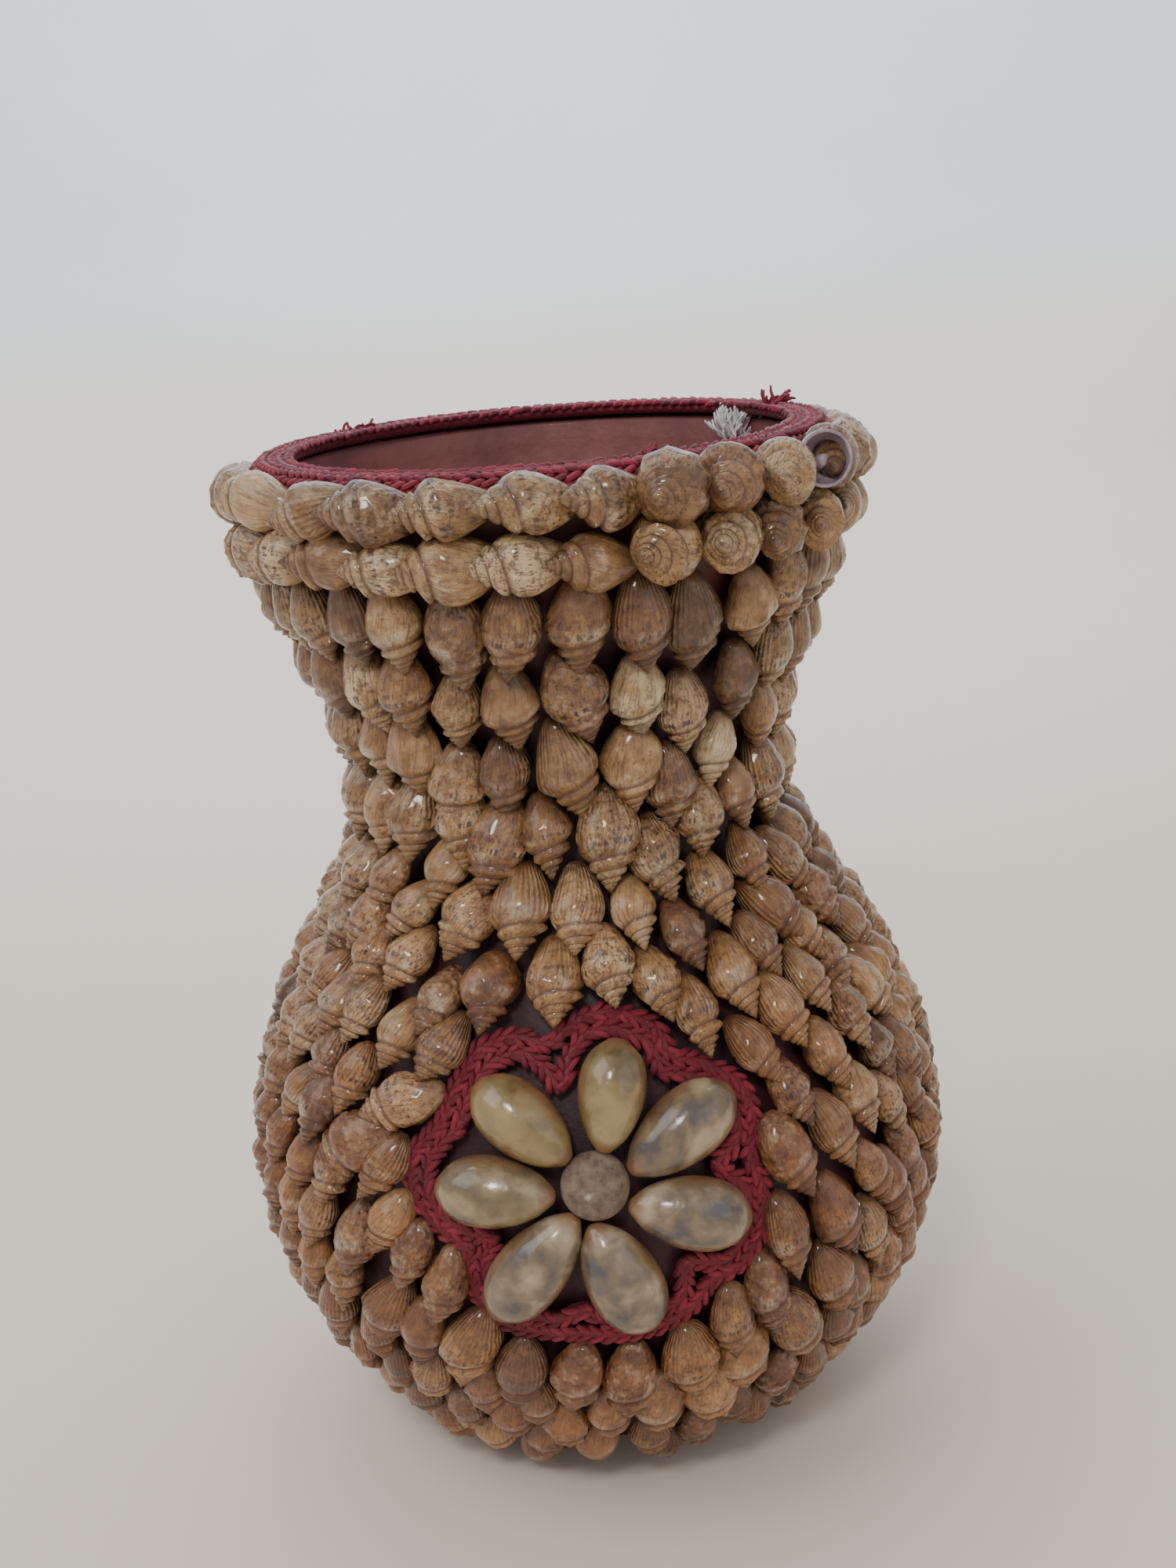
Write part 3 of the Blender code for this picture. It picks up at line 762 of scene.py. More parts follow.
# %% Shells read off the photograph
# (azimuth in degrees, mm below the lip along the wall) of the nose, then of the tip
SEEN_SHELLS = (
    (-19.0, 16.6, -19.2, 37.6), (-6.2, 16.1, -10.0, 35.3), (4.7, 15.1, 4.4, 35.6),
    (15.3, 15.9, 18.3, 36.1), (26.2, 17.1, 28.7, 38.1), (39.6, 18.6, 46.2, 36.6),
    (-22.7, 34.4, -24.7, 51.1), (-12.1, 32.7, -10.4, 51.6), (0.2, 31.2, 6.8, 50.9),
    (15.5, 33.1, 18.6, 51.1), (28.2, 38.8, 30.6, 56.4), (42.7, 34.9, 45.5, 52.1),
    (-26.2, 50.3, -31.9, 69.5), (-15.8, 48.9, -15.7, 66.4), (-3.8, 46.3, 3.7, 66.6),
    (15.5, 48.3, 16.3, 67.0), (27.6, 53.7, 25.5, 71.6), (44.6, 50.8, 37.6, 65.7),
    (-31.9, 69.3, -35.4, 84.9), (-16.0, 61.9, -22.6, 81.3), (-7.8, 61.4, -5.5, 78.2),
    (10.2, 60.6, 7.8, 81.5), (17.9, 67.3, 22.7, 85.6), (37.8, 62.1, 32.7, 78.8), (49.5, 60.7, 48.4, 76.6),
    (-21.9, 77.7, -31.7, 91.6), (-13.0, 73.6, -14.0, 93.4), (1.7, 74.7, -1.5, 92.7),
    (12.0, 77.6, 13.3, 93.4), (21.7, 83.5, 24.4, 99.3), (34.0, 76.5, 33.3, 92.9), (48.9, 73.9, 45.9, 89.7),
    (-20.0, 90.4, -20.2, 107.4), (-6.1, 87.4, -6.1, 105.9), (4.9, 87.3, 5.5, 104.3),
    (13.6, 91.1, 15.8, 107.2), (21.0, 98.1, 20.9, 115.0), (30.7, 92.0, 32.0, 110.5),
    (38.7, 89.7, 41.4, 105.3), (37.7, 101.7, 39.7, 119.1), (28.1, 107.9, 32.2, 123.3),
    (33.1, 117.0, 35.7, 132.8), (47.8, 99.3, 49.1, 115.7), (44.5, 113.7, 45.8, 130.1),
    (39.7, 126.4, 42.4, 144.3), (28.5, 127.7, 33.2, 145.2), (55.5, 110.2, 53.9, 126.0),
    (49.9, 124.0, 48.2, 140.0), (59.2, 119.5, 59.2, 135.6), (61.9, 99.7, 56.3, 114.3),
    (52.2, 91.7, 55.3, 106.8), (72.1, 118.5, 71.0, 134.4), (-22.8, 78.8, -30.3, 94.3),
    (-37.8, 87.3, -43.2, 102.5), (-27.6, 94.2, -33.2, 109.1), (-24.7, 102.5, -31.0, 117.2),
    (-36.3, 100.8, -39.2, 116.5), (-27.0, 116.6, -41.7, 125.7), (-45.5, 112.0, -47.7, 127.8),
    (-36.0, 125.6, -50.4, 137.3), (-47.0, 99.1, -50.6, 114.5), (-37.8, 78.8, -47.6, 92.6),
    (-53.3, 88.8, -51.7, 104.5), (-54.4, 110.3, -56.2, 125.8), (-58.5, 120.4, -64.3, 134.7),
    (-33.3, 127.5, -40.5, 141.5), (-31.7, 137.5, -37.8, 151.8), (-28.3, 142.2, -32.2, 157.5),
    (-34.1, 155.9, -42.3, 174.6), (-23.2, 147.1, -27.6, 163.6), (-29.7, 159.8, -34.3, 177.8),
    (-21.0, 160.3, -26.7, 180.6), (-12.9, 164.4, -17.8, 185.0), (-4.5, 163.7, -8.0, 184.0),
    (2.7, 166.2, 1.2, 187.3), (10.8, 164.4, 13.6, 185.3), (16.9, 155.6, 18.1, 172.8),
    (22.9, 152.6, 25.4, 171.1), (28.6, 142.5, 29.7, 160.8), (35.5, 143.0, 42.0, 161.8),
    (36.2, 157.2, 42.4, 177.3), (28.0, 165.7, 36.6, 185.3), (20.2, 168.7, 23.7, 189.5),
    (45.5, 139.9, 50.0, 155.1), (52.7, 169.8, 58.5, 188.7), (7.3, 178.2, 6.9, 199.5),
    (15.5, 177.8, 18.5, 199.0),
)


BODY_PLACE = 0.42
BODY_STAND = 0.005


def body_centre(nose, tip):
    """The middle of a shell's body whorl, which is nearer to its nose than to its tip."""
    azimuth = nose[0] + BODY_PLACE * (tip[0] - nose[0])
    return on_wall(azimuth, nose[1] + BODY_PLACE * (tip[1] - nose[1]), BODY_STAND)


def pushed_clear(nose, tip):
    """Slide a shell straight away from the flower until it no longer lies on the braid."""
    for _ in range(PUSH_TRIES):
        if clear_of_flower(nose, tip):
            break
        middle_azimuth, middle_drop = (nose[0] + tip[0]) / 2, (nose[1] + tip[1]) / 2
        radius = radius_at(middle_drop)
        away = Vector((middle_azimuth * radius, middle_drop - FLOWER_DROP)).normalized() * PUSH_STEP
        nose = (nose[0] + away.x / radius, nose[1] + away.y)
        tip = (tip[0] + away.x / radius, tip[1] + away.y)
    return nose, tip


def nearest_row(nose, tip):
    """The ring to which a shell belongs."""
    middle = (nose[1] + tip[1]) / 2
    return min(ROWS, key=lambda name: abs(sum(ROWS[name]) / 2 - middle))


seats = []
for nose_azimuth, nose_drop, tip_azimuth, tip_drop in SEEN_SHELLS:
    nose, tip = pushed_clear((math.radians(nose_azimuth), nose_drop / 1000),
                             (math.radians(tip_azimuth), tip_drop / 1000))
    seats.append((nearest_row(nose, tip), nose, tip, body_centre(nose, tip)))
print(len(seats), "shells seated from the photograph")

# %% Fill the rings
RING_PITCH = {"neck_row_1": 0.0110, "neck_row_2": 0.0104, "neck_row_3": 0.0100, "neck_row_4": 0.0100}
BELLY_SHELL_PITCH = 0.0104
LEAN_PLACE = 0.4
NOSE_SCATTER = 0.0011
GAP_SHELL_LENGTH = 0.0175
GAP_TRIES = 20000
rng = random.Random(11)


def has_room(nose, tip):
    """Whether a shell would lie clear of the flower and of every shell already seated."""
    centre = body_centre(nose, tip)
    spacing = SEEN_SPACING if abs(nose[0]) < SEEN_AZIMUTH else SHELL_SPACING
    return clear_of_flower(nose, tip) and all((centre - other).length > spacing for *_, other in seats)


def leaning_tip(azimuth, start, length, lean):
    """Where the spire ends of a shell that leans from straight down."""
    return azimuth + length * math.sin(lean) / radius_at(start + length / 2), start + length * math.cos(lean)


def seat_ring(name, top, tip_drop, phase):
    """Fill one ring with shells wherever the flower and the seated shells leave room."""
    radius = radius_at(top + LEAN_PLACE * (tip_drop - top))
    count = round(math.tau * radius / BELLY_SHELL_PITCH)
    for index in range(count):
        even = (index + phase) * math.tau / count
        azimuth = math.remainder(even + rng.uniform(-0.09, 0.09) / count * math.tau, math.tau)
        start = top + rng.uniform(-NOSE_SCATTER, NOSE_SCATTER)
        length = (tip_drop - top) * rng.uniform(0.95, 1.05)
        lean = flow_lean(azimuth, top + LEAN_PLACE * length) + rng.gauss(0, math.radians(4.5))
        nose, tip = (azimuth, start), leaning_tip(azimuth, start, length, lean)
        if has_room(nose, tip):
            seats.append((name, nose, tip, body_centre(nose, tip)))


def seat_neck_ring(name, top, tip_drop):
    """Carry a ring on round the back, evenly, from its last seen shell to its first."""
    seen = sorted(nose[0] for row, nose, *_ in seats if row == name)
    arc = math.tau - (seen[-1] - seen[0])
    count = round(arc * radius_at((top + tip_drop) / 2) / RING_PITCH[name])
    for index in range(1, count):
        azimuth = seen[-1] + arc * (index + rng.uniform(-0.08, 0.08)) / count
        nose = (azimuth, top + rng.uniform(-NOSE_SCATTER, NOSE_SCATTER))
        tip = (azimuth + rng.gauss(0, 0.03), tip_drop + rng.uniform(-0.0008, 0.0008))
        seats.append((name, nose, tip, body_centre(nose, tip)))


def fill_gaps(tries):
    """Glue single shells wherever the rings left a bare place big enough for one."""
    first, last = ROWS["belly_row_01"][0], sum(ROWS["belly_row_12"]) / 2
    for _ in range(tries):
        azimuth, start = rng.uniform(-math.pi, math.pi), rng.uniform(first, last)
        lean = flow_lean(azimuth, start + LEAN_PLACE * GAP_SHELL_LENGTH) + rng.gauss(0, math.radians(5))
        nose, tip = (azimuth, start), leaning_tip(azimuth, start, GAP_SHELL_LENGTH, lean)
        if has_room(nose, tip):
            seats.append((nearest_row(nose, tip), nose, tip, body_centre(nose, tip)))


for index, (name, (top, tip_drop)) in enumerate(ROWS.items()):
    if name in RING_PITCH:
        seat_neck_ring(name, top, tip_drop)
    else:
        seat_ring(name, top, tip_drop, phase=0.5 * (index % 2))
print(len(seats), "shells seated with the rings filled")
fill_gaps(GAP_TRIES)
print(len(seats), "shells seated with the gaps filled")

# %% Grow the ring shells
TIP_LOWEST = 0.0016
ROLL_SPREAD = math.radians(12)
SLIMMER_BELOW = (0.10, 0.165)


def shell_tone(rng, drop):
    """Lightness, markings, warmth and warts of one shell; low on the belly the lightness drops as painted shade and
    the warmth rises as painted orange light bounced from below.
    """
    # low on the belly the lightness is lowered as painted shade
    paler, darker = 0.10 * smooth_step(0.03, 0.05, drop), 0.18 * smooth_step(0.10, 0.19, drop)
    lightness = min(max(rng.gauss(0.50, 0.19) + paler - darker, 0.0), 1.0)
    markings = rng.choice((0.15, 0.4, 0.6, 0.8, 1.0))
    # down the belly the warmth grows as painted orange light bounced from below, on top of each shell's random warmth
    warm_tint_and_bounce = 0.04 + 0.62 * smooth_step(0.04, 0.12, drop) + 0.20 * smooth_step(0.12, 0.19, drop) + rng.uniform(-0.2, 0.25)
    return lightness, markings, min(max(warm_tint_and_bounce, 0.0), 0.9), rng.choice((0.0, 0.0, 0.2, 0.7))


for number, name in enumerate(ROWS):
    rng = random.Random(100 + number)
    bm = new_shell_mesh()
    for row, nose, tip, _ in seats:
        if row != name:
            continue
        middle = ((nose[0] + tip[0]) / 2, (nose[1] + tip[1]) / 2)
        nose_point = on_wall(*nose, NOSE_STAND + rng.uniform(-0.0004, 0.0006))
        tip_point = on_wall(*tip, TIP_STAND + rng.uniform(-0.0006, 0.0006))
        tip_point.z = max(tip_point.z, TIP_LOWEST)
        roll = Matrix.Rotation(rng.gauss(0, ROLL_SPREAD), 3, (nose_point - tip_point).normalized())
        build = shell_build(rng, slim=0.4 + 1.5 * smooth_step(*SLIMMER_BELOW, middle[1]))
        add_shell(bm, nose_point, tip_point, roll @ out_of_wall(*middle), build, shell_tone(rng, middle[1]))
    bmesh.ops.recalc_face_normals(bm, faces=bm.faces)
    finish_piece(name + "_shells", bm, shell_finish, [name])

# %% [markdown]
# ## The two rim rows
# Below the braid two rows of shells lie end to end round the rim, all spires to the left
# when seen from the front. On the right of the front they were glued with their spires
# swung outwards, so they show their whorls end on.

# %% Rim shells
RIM_DROPS = {"rim_row_upper": 0.0010, "rim_row_lower": 0.0110}
RIM_STAND = 0.0053
RIM_PITCH = math.radians(12.8)
# azimuths in degrees of the shells that the photograph shows; the rest carry on round the back
RIM_SEEN = {
    "rim_row_upper": (-58.0, -41.5, -28.5, -15.0, -1.5, 11.0, 21.5, 32.0, 45.0, 60.0),
    "rim_row_lower": (-53.0, -40.0, -27.0, -15.5, -4.0, 9.0, 20.5, 32.0, 44.0, 56.0),
}
RIM_LENGTHS = (0.0190, 0.0208)
SWING_FROM, SWING_FULL = math.radians(8), math.radians(16)
SWING_EASES, SWING_END = math.radians(30), math.radians(80)
TANGENT_SWING, SWING_REACH = math.radians(18), math.radians(29)
# a shell seen end on is rounder than one seen from its side
SWUNG_ROUNDER = (("width", 0.05), ("spire_width", 0.05), ("depth", 0.16))
# each shell sits a little below its row's line, and lower still round the back, so as not to
# stand above the braid
SUNK, SUNK_BEHIND = 0.0005, 0.0024
BACK_FROM, BACK_FULL = math.radians(62), math.radians(95)
RIM_SHELL_DROP = 0.03


def rim_swing(azimuth):
    """How far a rim shell's spire is swung out from the wall, so as to lap over the next nose."""
    turned_out = smooth_step(SWING_FROM, SWING_FULL, azimuth) * (1 - smooth_step(SWING_EASES, SWING_END, azimuth))
    return TANGENT_SWING + SWING_REACH * turned_out


def add_rim_shell(bm, azimuth, height, rng, length):
    """Grow one shell of a rim row, lying along the rim with its spire to the left."""
    centre = round_vase(azimuth, wall_radius(height) + RIM_STAND, height)
    out = round_vase(azimuth, 1.0, 0.0)
    left = Vector((-math.cos(azimuth), -math.sin(azimuth), 0))
    swing = rim_swing(azimuth) + rng.gauss(0, 0.05)
    spire_way = math.cos(swing) * left + math.sin(swing) * out
    spire_way = (spire_way + Vector((0, 0, rng.gauss(-0.02, 0.09)))).normalized()
    nose = centre - BODY_PLACE * length * spire_way
    tip = centre + (1 - BODY_PLACE) * length * spire_way
    back = (out + Vector((0, 0, rng.uniform(0.0, 0.5)))).normalized()
    build = shell_build(rng, slim=1.0)
    for part, rounder in SWUNG_ROUNDER:
        build[part] += rounder * max(swing - TANGENT_SWING, 0) / SWING_REACH
    add_shell(bm, nose, tip, back, build, shell_tone(rng, RIM_SHELL_DROP))


for number, (name, drop) in enumerate(RIM_DROPS.items()):
    rng = random.Random(200 + number)
    bm = new_shell_mesh()
    height = LIP_HEIGHT - drop
    azimuths = [math.radians(azimuth) for azimuth in RIM_SEEN[name]]
    arc = math.tau - (azimuths[-1] - azimuths[0])
    count = round(arc / RIM_PITCH)
    azimuths += [math.remainder(azimuths[-1] + arc * index / count, math.tau) for index in range(1, count)]
    for azimuth in azimuths:
        sunk = SUNK + SUNK_BEHIND * smooth_step(BACK_FROM, BACK_FULL, abs(azimuth))
        add_rim_shell(bm, azimuth, height - sunk + rng.gauss(0, 0.0004), rng, rng.uniform(*RIM_LENGTHS))
    bmesh.ops.recalc_face_normals(bm, faces=bm.faces)
    finish_piece(name + "_shells", bm, shell_finish, [name])

# %% [markdown]
# ## Cowrie petals
# A cowrie is an egg that is fuller at one end, flat underneath and drawn out into a short
# beak at both tips. Each petal is a sphere drawn into that form, between two ends read off
# the photograph. A vertex colour says how yellow it is, where its darker margin lies, and
# by how much its clouds are shifted from its neighbour's.

# %% Cowrie glaze
cowrie_finish, tree, shader = new_material("cowrie_glaze")
place = object_place(tree)
own = add(tree, "SeparateColor", Color=add(tree, "Attribute", {"attribute_name": "petal_tone"}).outputs["Color"])
yellow, edge_share, shift = own.outputs[0], own.outputs[1], own.outputs[2]
shift_all = add(tree, "CombineXYZ", X=shift, Y=shift, Z=shift).outputs["Vector"]
moved = add(tree, "VectorMath", {"operation": "ADD"}, i0=place, i1=shift_all).outputs["Vector"]
clouds = noise_at(tree, moved, 120.0, 3.0, 0.55, 0.3)
grey_cowrie = ramp(tree, clouds, [(0.36, colour(74, 74, 80)), (0.48, colour(124, 108, 88)),
                                  (0.64, colour(178, 160, 134))])
yellow_cowrie = ramp(tree, clouds, [(0.30, colour(108, 90, 58)), (0.50, colour(142, 120, 78)),
                                    (0.75, colour(166, 144, 98))])
glazed = mix(tree, yellow, grey_cowrie, yellow_cowrie)
blotch = band(tree, noise_at(tree, moved, 300.0, 4.0, 0.7), 0.58, 0.72)
margin = product(tree, band(tree, edge_share, 0.25, 0.95), 0.8)
edged = mix(tree, margin, glazed, colour(132, 96, 64))
freckles = product(tree, blotch, math_node(tree, "ADD", margin, 0.4))
spotted = mix(tree, product(tree, freckles, 0.8), edged, colour(96, 66, 44))
cowrie_colour, cowrie_dirt = add_grime(tree, spotted, 0.3, 140.0)
cowrie_rough = math_node(tree, "ADD", product(tree, cowrie_dirt, 0.3), 0.22)
surface(tree, shader, cowrie_colour, cowrie_rough, noise_at(tree, place, 160.0, 3.0), 0.0004,
        Coat_Weight=0.55, Coat_Roughness=0.10)

# %% Cowrie petals
COWRIE_HEIGHT = 0.0105
COWRIE_STAND = 0.0009
COWRIE_MIDDLE = 0.0036
OUTER_END_LIFT = 0.0006
CLOUD_SHIFT = 0.03
# inner end and outer end as (degrees, mm from the centre), width in mm, and how yellow it is
PETALS = (
    ((19.0, 6.4), (13.4, 27.0), 13.0, 0.9), ((72.0, 6.9), (63.4, 30.2), 13.9, 0.35),
    ((124.0, 7.2), (110.9, 30.8), 14.2, 0.15), ((188.0, 7.2), (164.6, 30.4), 14.6, 0.1),
    ((217.0, 6.6), (219.3, 33.0), 13.8, 0.15), ((259.0, 7.6), (268.0, 30.4), 13.8, 0.5),
    ((318.0, 6.6), (311.9, 28.0), 13.6, 0.95),
)
COWRIE_SEGMENTS, COWRIE_RINGS = 32, 24


def cowrie_point(direction):
    """Draw a unit sphere out into a cowrie: x across, y from the centre outwards, z out."""
    x, y, z = direction
    girth = math.sqrt(max(1 - y * y, 0.0))
    blunt = girth ** 0.76
    fuller = (0.97 + 0.15 * y - 0.08 * y ** 2) * blunt / max(girth, 1e-6)
    fuller *= 1 - 0.22 * smooth_step(0.80, 0.96, abs(y))
    beak = 0.08 * smooth_step(0.75, 1.0, abs(y))
    high = z * fuller if z > 0 else max(z * fuller, -0.75) * 0.55
    return x * fuller, y * (1 + beak) / 1.06, high


for index, ((inner_angle, inner_reach), (outer_angle, outer_reach), width, yellow) in enumerate(PETALS):
    bm = bmesh.new()
    petal_tone = bm.verts.layers.float_color.new("petal_tone")
    bmesh.ops.create_uvsphere(bm, u_segments=COWRIE_SEGMENTS, v_segments=COWRIE_RINGS, radius=1)
    bmesh.ops.rotate(bm, verts=bm.verts, cent=(0, 0, 0), matrix=Matrix.Rotation(math.pi / 2, 3, "X"))
    inner = on_flower(math.radians(inner_angle), inner_reach / 1000, COWRIE_STAND + COWRIE_MIDDLE)
    outer = on_flower(math.radians(outer_angle), outer_reach / 1000, COWRIE_STAND + COWRIE_MIDDLE + OUTER_END_LIFT)
    length = (outer - inner).length
    middle = (inner + outer) / 2
    radial, upward = wall_normal(middle.z)
    flat = Vector((middle.x, middle.y, 0)).normalized()
    along_axis = (outer - inner).normalized()
    across_axis = along_axis.cross(Vector((flat.x * radial, flat.y * radial, upward))).normalized()
    out_axis = across_axis.cross(along_axis)
    for vertex in bm.verts:
        x, y, z = vertex.co
        across, along, high = cowrie_point((x, y, z))
        edge = smooth_step(0.45, 1.0, abs(x)) * 0.8 + smooth_step(0.7, 1.0, abs(y))
        vertex[petal_tone] = (yellow, min(edge, 1.0), CLOUD_SHIFT * index, 1.0)
        vertex.co = (middle + across * width / 2000 * across_axis + along * length / 2 * along_axis
                     + high * (COWRIE_HEIGHT - COWRIE_MIDDLE) * out_axis)
    finish_piece(f"cowrie_{index + 1}", bm, cowrie_finish, [f"cowrie_petal_{index + 1}"])

# %% [markdown]
# ## The flower's middle
# A worn little moon shell sits in the middle, a low dome with no shine left and a pale
# apex a little off its centre.

# %% Middle shell
MOON_RADIUS = 0.0064
MOON_HEIGHT = 0.0075
MOON_MIDDLE = 0.0025
MOON_UNDERSIDE = -0.35
APEX_PLACE = Vector((-0.18, -0.12))
GROOVE_DEPTH, GROOVE_TURNS, GROOVES_END = 0.012, 16, 0.9
OFF_THE_TOP = 9

worn_finish, tree, shader = new_material("worn_shell")
place = object_place(tree)
apex = add(tree, "Attribute", {"attribute_name": "apex"}).outputs["Fac"]
worn = ramp(tree, noise_at(tree, place, 420.0, 5.0, 0.7), [(0.3, colour(98, 80, 68)), (0.7, colour(140, 122, 106))])
worn = mix(tree, apex, worn, colour(196, 190, 176))
worn, _ = add_grime(tree, worn, 0.5, 380.0)
surface(tree, shader, worn, 0.8, noise_at(tree, place, 900.0, 4.0), 0.0003)

bm = bmesh.new()
apex_layer = bm.verts.layers.float.new("apex")
bmesh.ops.create_uvsphere(bm, u_segments=40, v_segments=24, radius=1)
centre_out = out_of_wall(FLOWER_AZIMUTH, FLOWER_DROP)
centre_right = Vector((1, 0, 0))
centre_up = centre_out.cross(centre_right)
centre_point = on_wall(FLOWER_AZIMUTH, FLOWER_DROP, COWRIE_STAND)
for vertex in bm.verts:
    x, y, z = vertex.co
    off = (Vector((x, y)) - APEX_PLACE).length if z > 0 else OFF_THE_TOP
    vertex[apex_layer] = 1 - smooth_step(0.02, 0.13, off)
    turn = math.atan2(y - APEX_PLACE.y, x - APEX_PLACE.x)
    groove = GROOVE_DEPTH * math.cos(GROOVE_TURNS * off - turn) if off < GROOVES_END else 0
    high = max(z, MOON_UNDERSIDE) if z < 0 else z ** 0.85 * (1 + groove)
    vertex.co = (centre_point + MOON_RADIUS * (x * centre_right + y * centre_up)
                 + (MOON_MIDDLE + (MOON_HEIGHT - MOON_MIDDLE) * high) * centre_out)
finish_piece("moon_shell", bm, worn_finish, ["flower_centre"])

# %% [markdown]
# ## Crocheted braid
# Every braid is made of chains of crochet stitches in crimson raffia-like yarn. Each stitch
# shows as a V of two plump strands, the point of each V tucked into the one before, over a
# fatter core that closes the chain behind them. A strand is a small spindle drawn from a
# sphere with few faces, as there are hundreds of them, and the yarn's own fibres are fine
# streaks along it.

# %% Crimson yarn
yarn, tree, shader = new_material("crimson_yarn")
strand_map = add(tree, "UVMap", {"uv_map": "strand"}).outputs["UV"]
strand_tone = add(tree, "Attribute", {"attribute_name": "strand_tone"}).outputs["Fac"]
fibre_map = add(tree, "Mapping", Vector=strand_map, Scale=(14, 1.6, 1), Rotation=(0, 0, 0.35)).outputs["Vector"]
fibres = noise_at(tree, fibre_map, 1.0, 4.0, 0.7)
yarn_value = math_node(tree, "ADD", product(tree, fibres, 0.7), product(tree, strand_tone, 0.35))
crimson = ramp(tree, yarn_value, [(0.22, colour(76, 8, 22)), (0.5, colour(130, 18, 42)),
                                  (0.74, colour(158, 38, 62)), (0.92, colour(178, 74, 94))])
crimson, _ = add_grime(tree, crimson, 0.25, 90.0)
surface(tree, shader, crimson, 0.5, fibres, 0.0003, Sheen_Weight=0.08, Sheen_Roughness=0.4)

# %% Stitches along a path
STRAND_SIDES = 6
STRAND_RINGS = 5
CORE_SUNK, CORE_GIRTH, CORE_LAP = 0.0004, 0.62, 0.3
STRAND_ARCH = 0.0007
HAND_SCATTER = 0.00012


def strand_template():
    """A closed spindle with few faces, and for each vertex its turn, its share along and its girth."""
    bm = bmesh.new()
    bmesh.ops.create_uvsphere(bm, u_segments=STRAND_SIDES, v_segments=STRAND_RINGS, radius=1)
    strand_uv = bm.loops.layers.uv.new("strand")
    bm.verts.layers.float.new("strand_tone")
    places = []
    for vertex in bm.verts:
        x, y, z = vertex.co
        pole = abs(z) > 0.999
        share = 0.5 + 0.5 * math.sin(z * math.pi / 2)
        places.append((math.atan2(y, x), share, 0.0 if pole else math.hypot(x, y) ** 0.6))
    for face in bm.faces:
        turns = [places[loop.vert.index][0] / math.tau for loop in face.loops]
        wraps = max(turns) - min(turns) > 0.5
        for loop, turn in zip(face.loops, turns):
            loop[strand_uv].uv = (turn + (1 if wraps and turn < 0 else 0), places[loop.vert.index][1])
    mesh = bpy.data.meshes.new("strand_template")
    bm.to_mesh(mesh)
    bm.free()
    return mesh, places


STRAND_TEMPLATE, STRAND_PLACES = strand_template()


def add_strand(bm, start, end, out, thickness, tone, bulge):
    """One plump strand from start to end, arched outwards by bulge."""
    axis = end - start
    side_axis = axis.cross(out).normalized()
    out_axis = side_axis.cross(axis).normalized()
    first = len(bm.verts)
    bm.from_mesh(STRAND_TEMPLATE)
    bm.verts.ensure_lookup_table()
    tones = bm.verts.layers.float["strand_tone"]
    for vertex, (turn, share, girth) in zip(bm.verts[first:], STRAND_PLACES):
        vertex[tones] = tone
        vertex.co = (start + share * axis + bulge * 4 * share * (1 - share) * out_axis
                     + thickness / 2 * girth * (math.cos(turn) * side_axis + math.sin(turn) * out_axis))


def new_braid_mesh():
    """An empty mesh with the layers that the strands bring."""
    bm = bmesh.new()
    bm.loops.layers.uv.new("strand")
    bm.verts.layers.float.new("strand_tone")
    return bm


def chain_stitches(bm, points, sides, outs, width, thickness, rng):
    """A chain of V stitches along closed points: a core, and two strands from it to the edges."""
    count = len(points)
    for index in range(count):
        start, end = points[index], points[(index + 1) % count]
        side, out = sides[index], outs[index]
        forward = end - start
        lap, sunk = CORE_LAP * forward, CORE_SUNK * out
        add_strand(bm, start - lap - sunk, end + lap - sunk, out, CORE_GIRTH * width, 0.2 * rng.random(), 0.0)
        for way in (-1, 1):
            inner = start - 0.42 * forward + 0.03 * way * width * side
            outer = start + 0.95 * forward + 0.45 * way * width * side
            scatter = Vector((rng.gauss(0, 1), rng.gauss(0, 1), rng.gauss(0, 1))) * HAND_SCATTER
            add_strand(bm, inner, outer + scatter, out, thickness * rng.uniform(0.9, 1.12), rng.random(), STRAND_ARCH)


print("a strand has", STRAND_SIDES * 2 * (STRAND_RINGS - 1), "triangles")

# %% Flower braids
STITCH_LENGTH = 0.0024
FLOWER_STITCH_WIDTH = 0.0044
FLOWER_STRAND = 0.00125
PATH_STEPS = 720


def flower_path(inner_line):
    """Evenly spaced places along a braid's line, with sideways and outward directions."""
    turns = [math.tau * i / PATH_STEPS for i in range(PATH_STEPS)]
    dense = [on_flower(turn, braid_reach(turn, inner_line), BRAID_STAND) for turn in turns]
    lengths = [0.0]
    for before, after in zip(dense, dense[1:] + dense[:1]):
        lengths.append(lengths[-1] + (after - before).length)
    count = round(lengths[-1] / STITCH_LENGTH)
    points, sides, outs = [], [], []
    for stitch in range(count):
        target = lengths[-1] * stitch / count
        index = max(bisect.bisect_left(lengths, target), 1)
        share = (target - lengths[index - 1]) / (lengths[index] - lengths[index - 1])
        before, after = dense[index - 1], dense[index % PATH_STEPS]
        point = before.lerp(after, share)
        out = Vector((point.x, point.y, 0)).normalized()
        radial, upward = wall_normal(point.z)
        out = Vector((out.x * radial, out.y * radial, upward))
        points.append(point)
        sides.append((after - before).cross(out).normalized())
        outs.append(out)
    return points, sides, outs


for number, (name, inner_line) in enumerate((("flower_braid_inner", True), ("flower_braid_outer", False))):
    rng = random.Random(300 + number)
    bm = new_braid_mesh()
    points, sides, outs = flower_path(inner_line)
    chain_stitches(bm, points, sides, outs, FLOWER_STITCH_WIDTH, FLOWER_STRAND, rng)
    bmesh.ops.recalc_face_normals(bm, faces=bm.faces)
    finish_piece(name + "_stitches", bm, yarn, [name])
    length = sum((after - before).length for before, after in zip(points, points[1:] + points[:1]))
    print(name, "is", round(1000 * length), "mm long in", len(points), "stitches")

# %% Rim braid
RIM_BRAID_TOP = LIP_HEIGHT + 0.0024
RIM_STITCH_WIDTH = 0.0040
RIM_STRAND = 0.0013
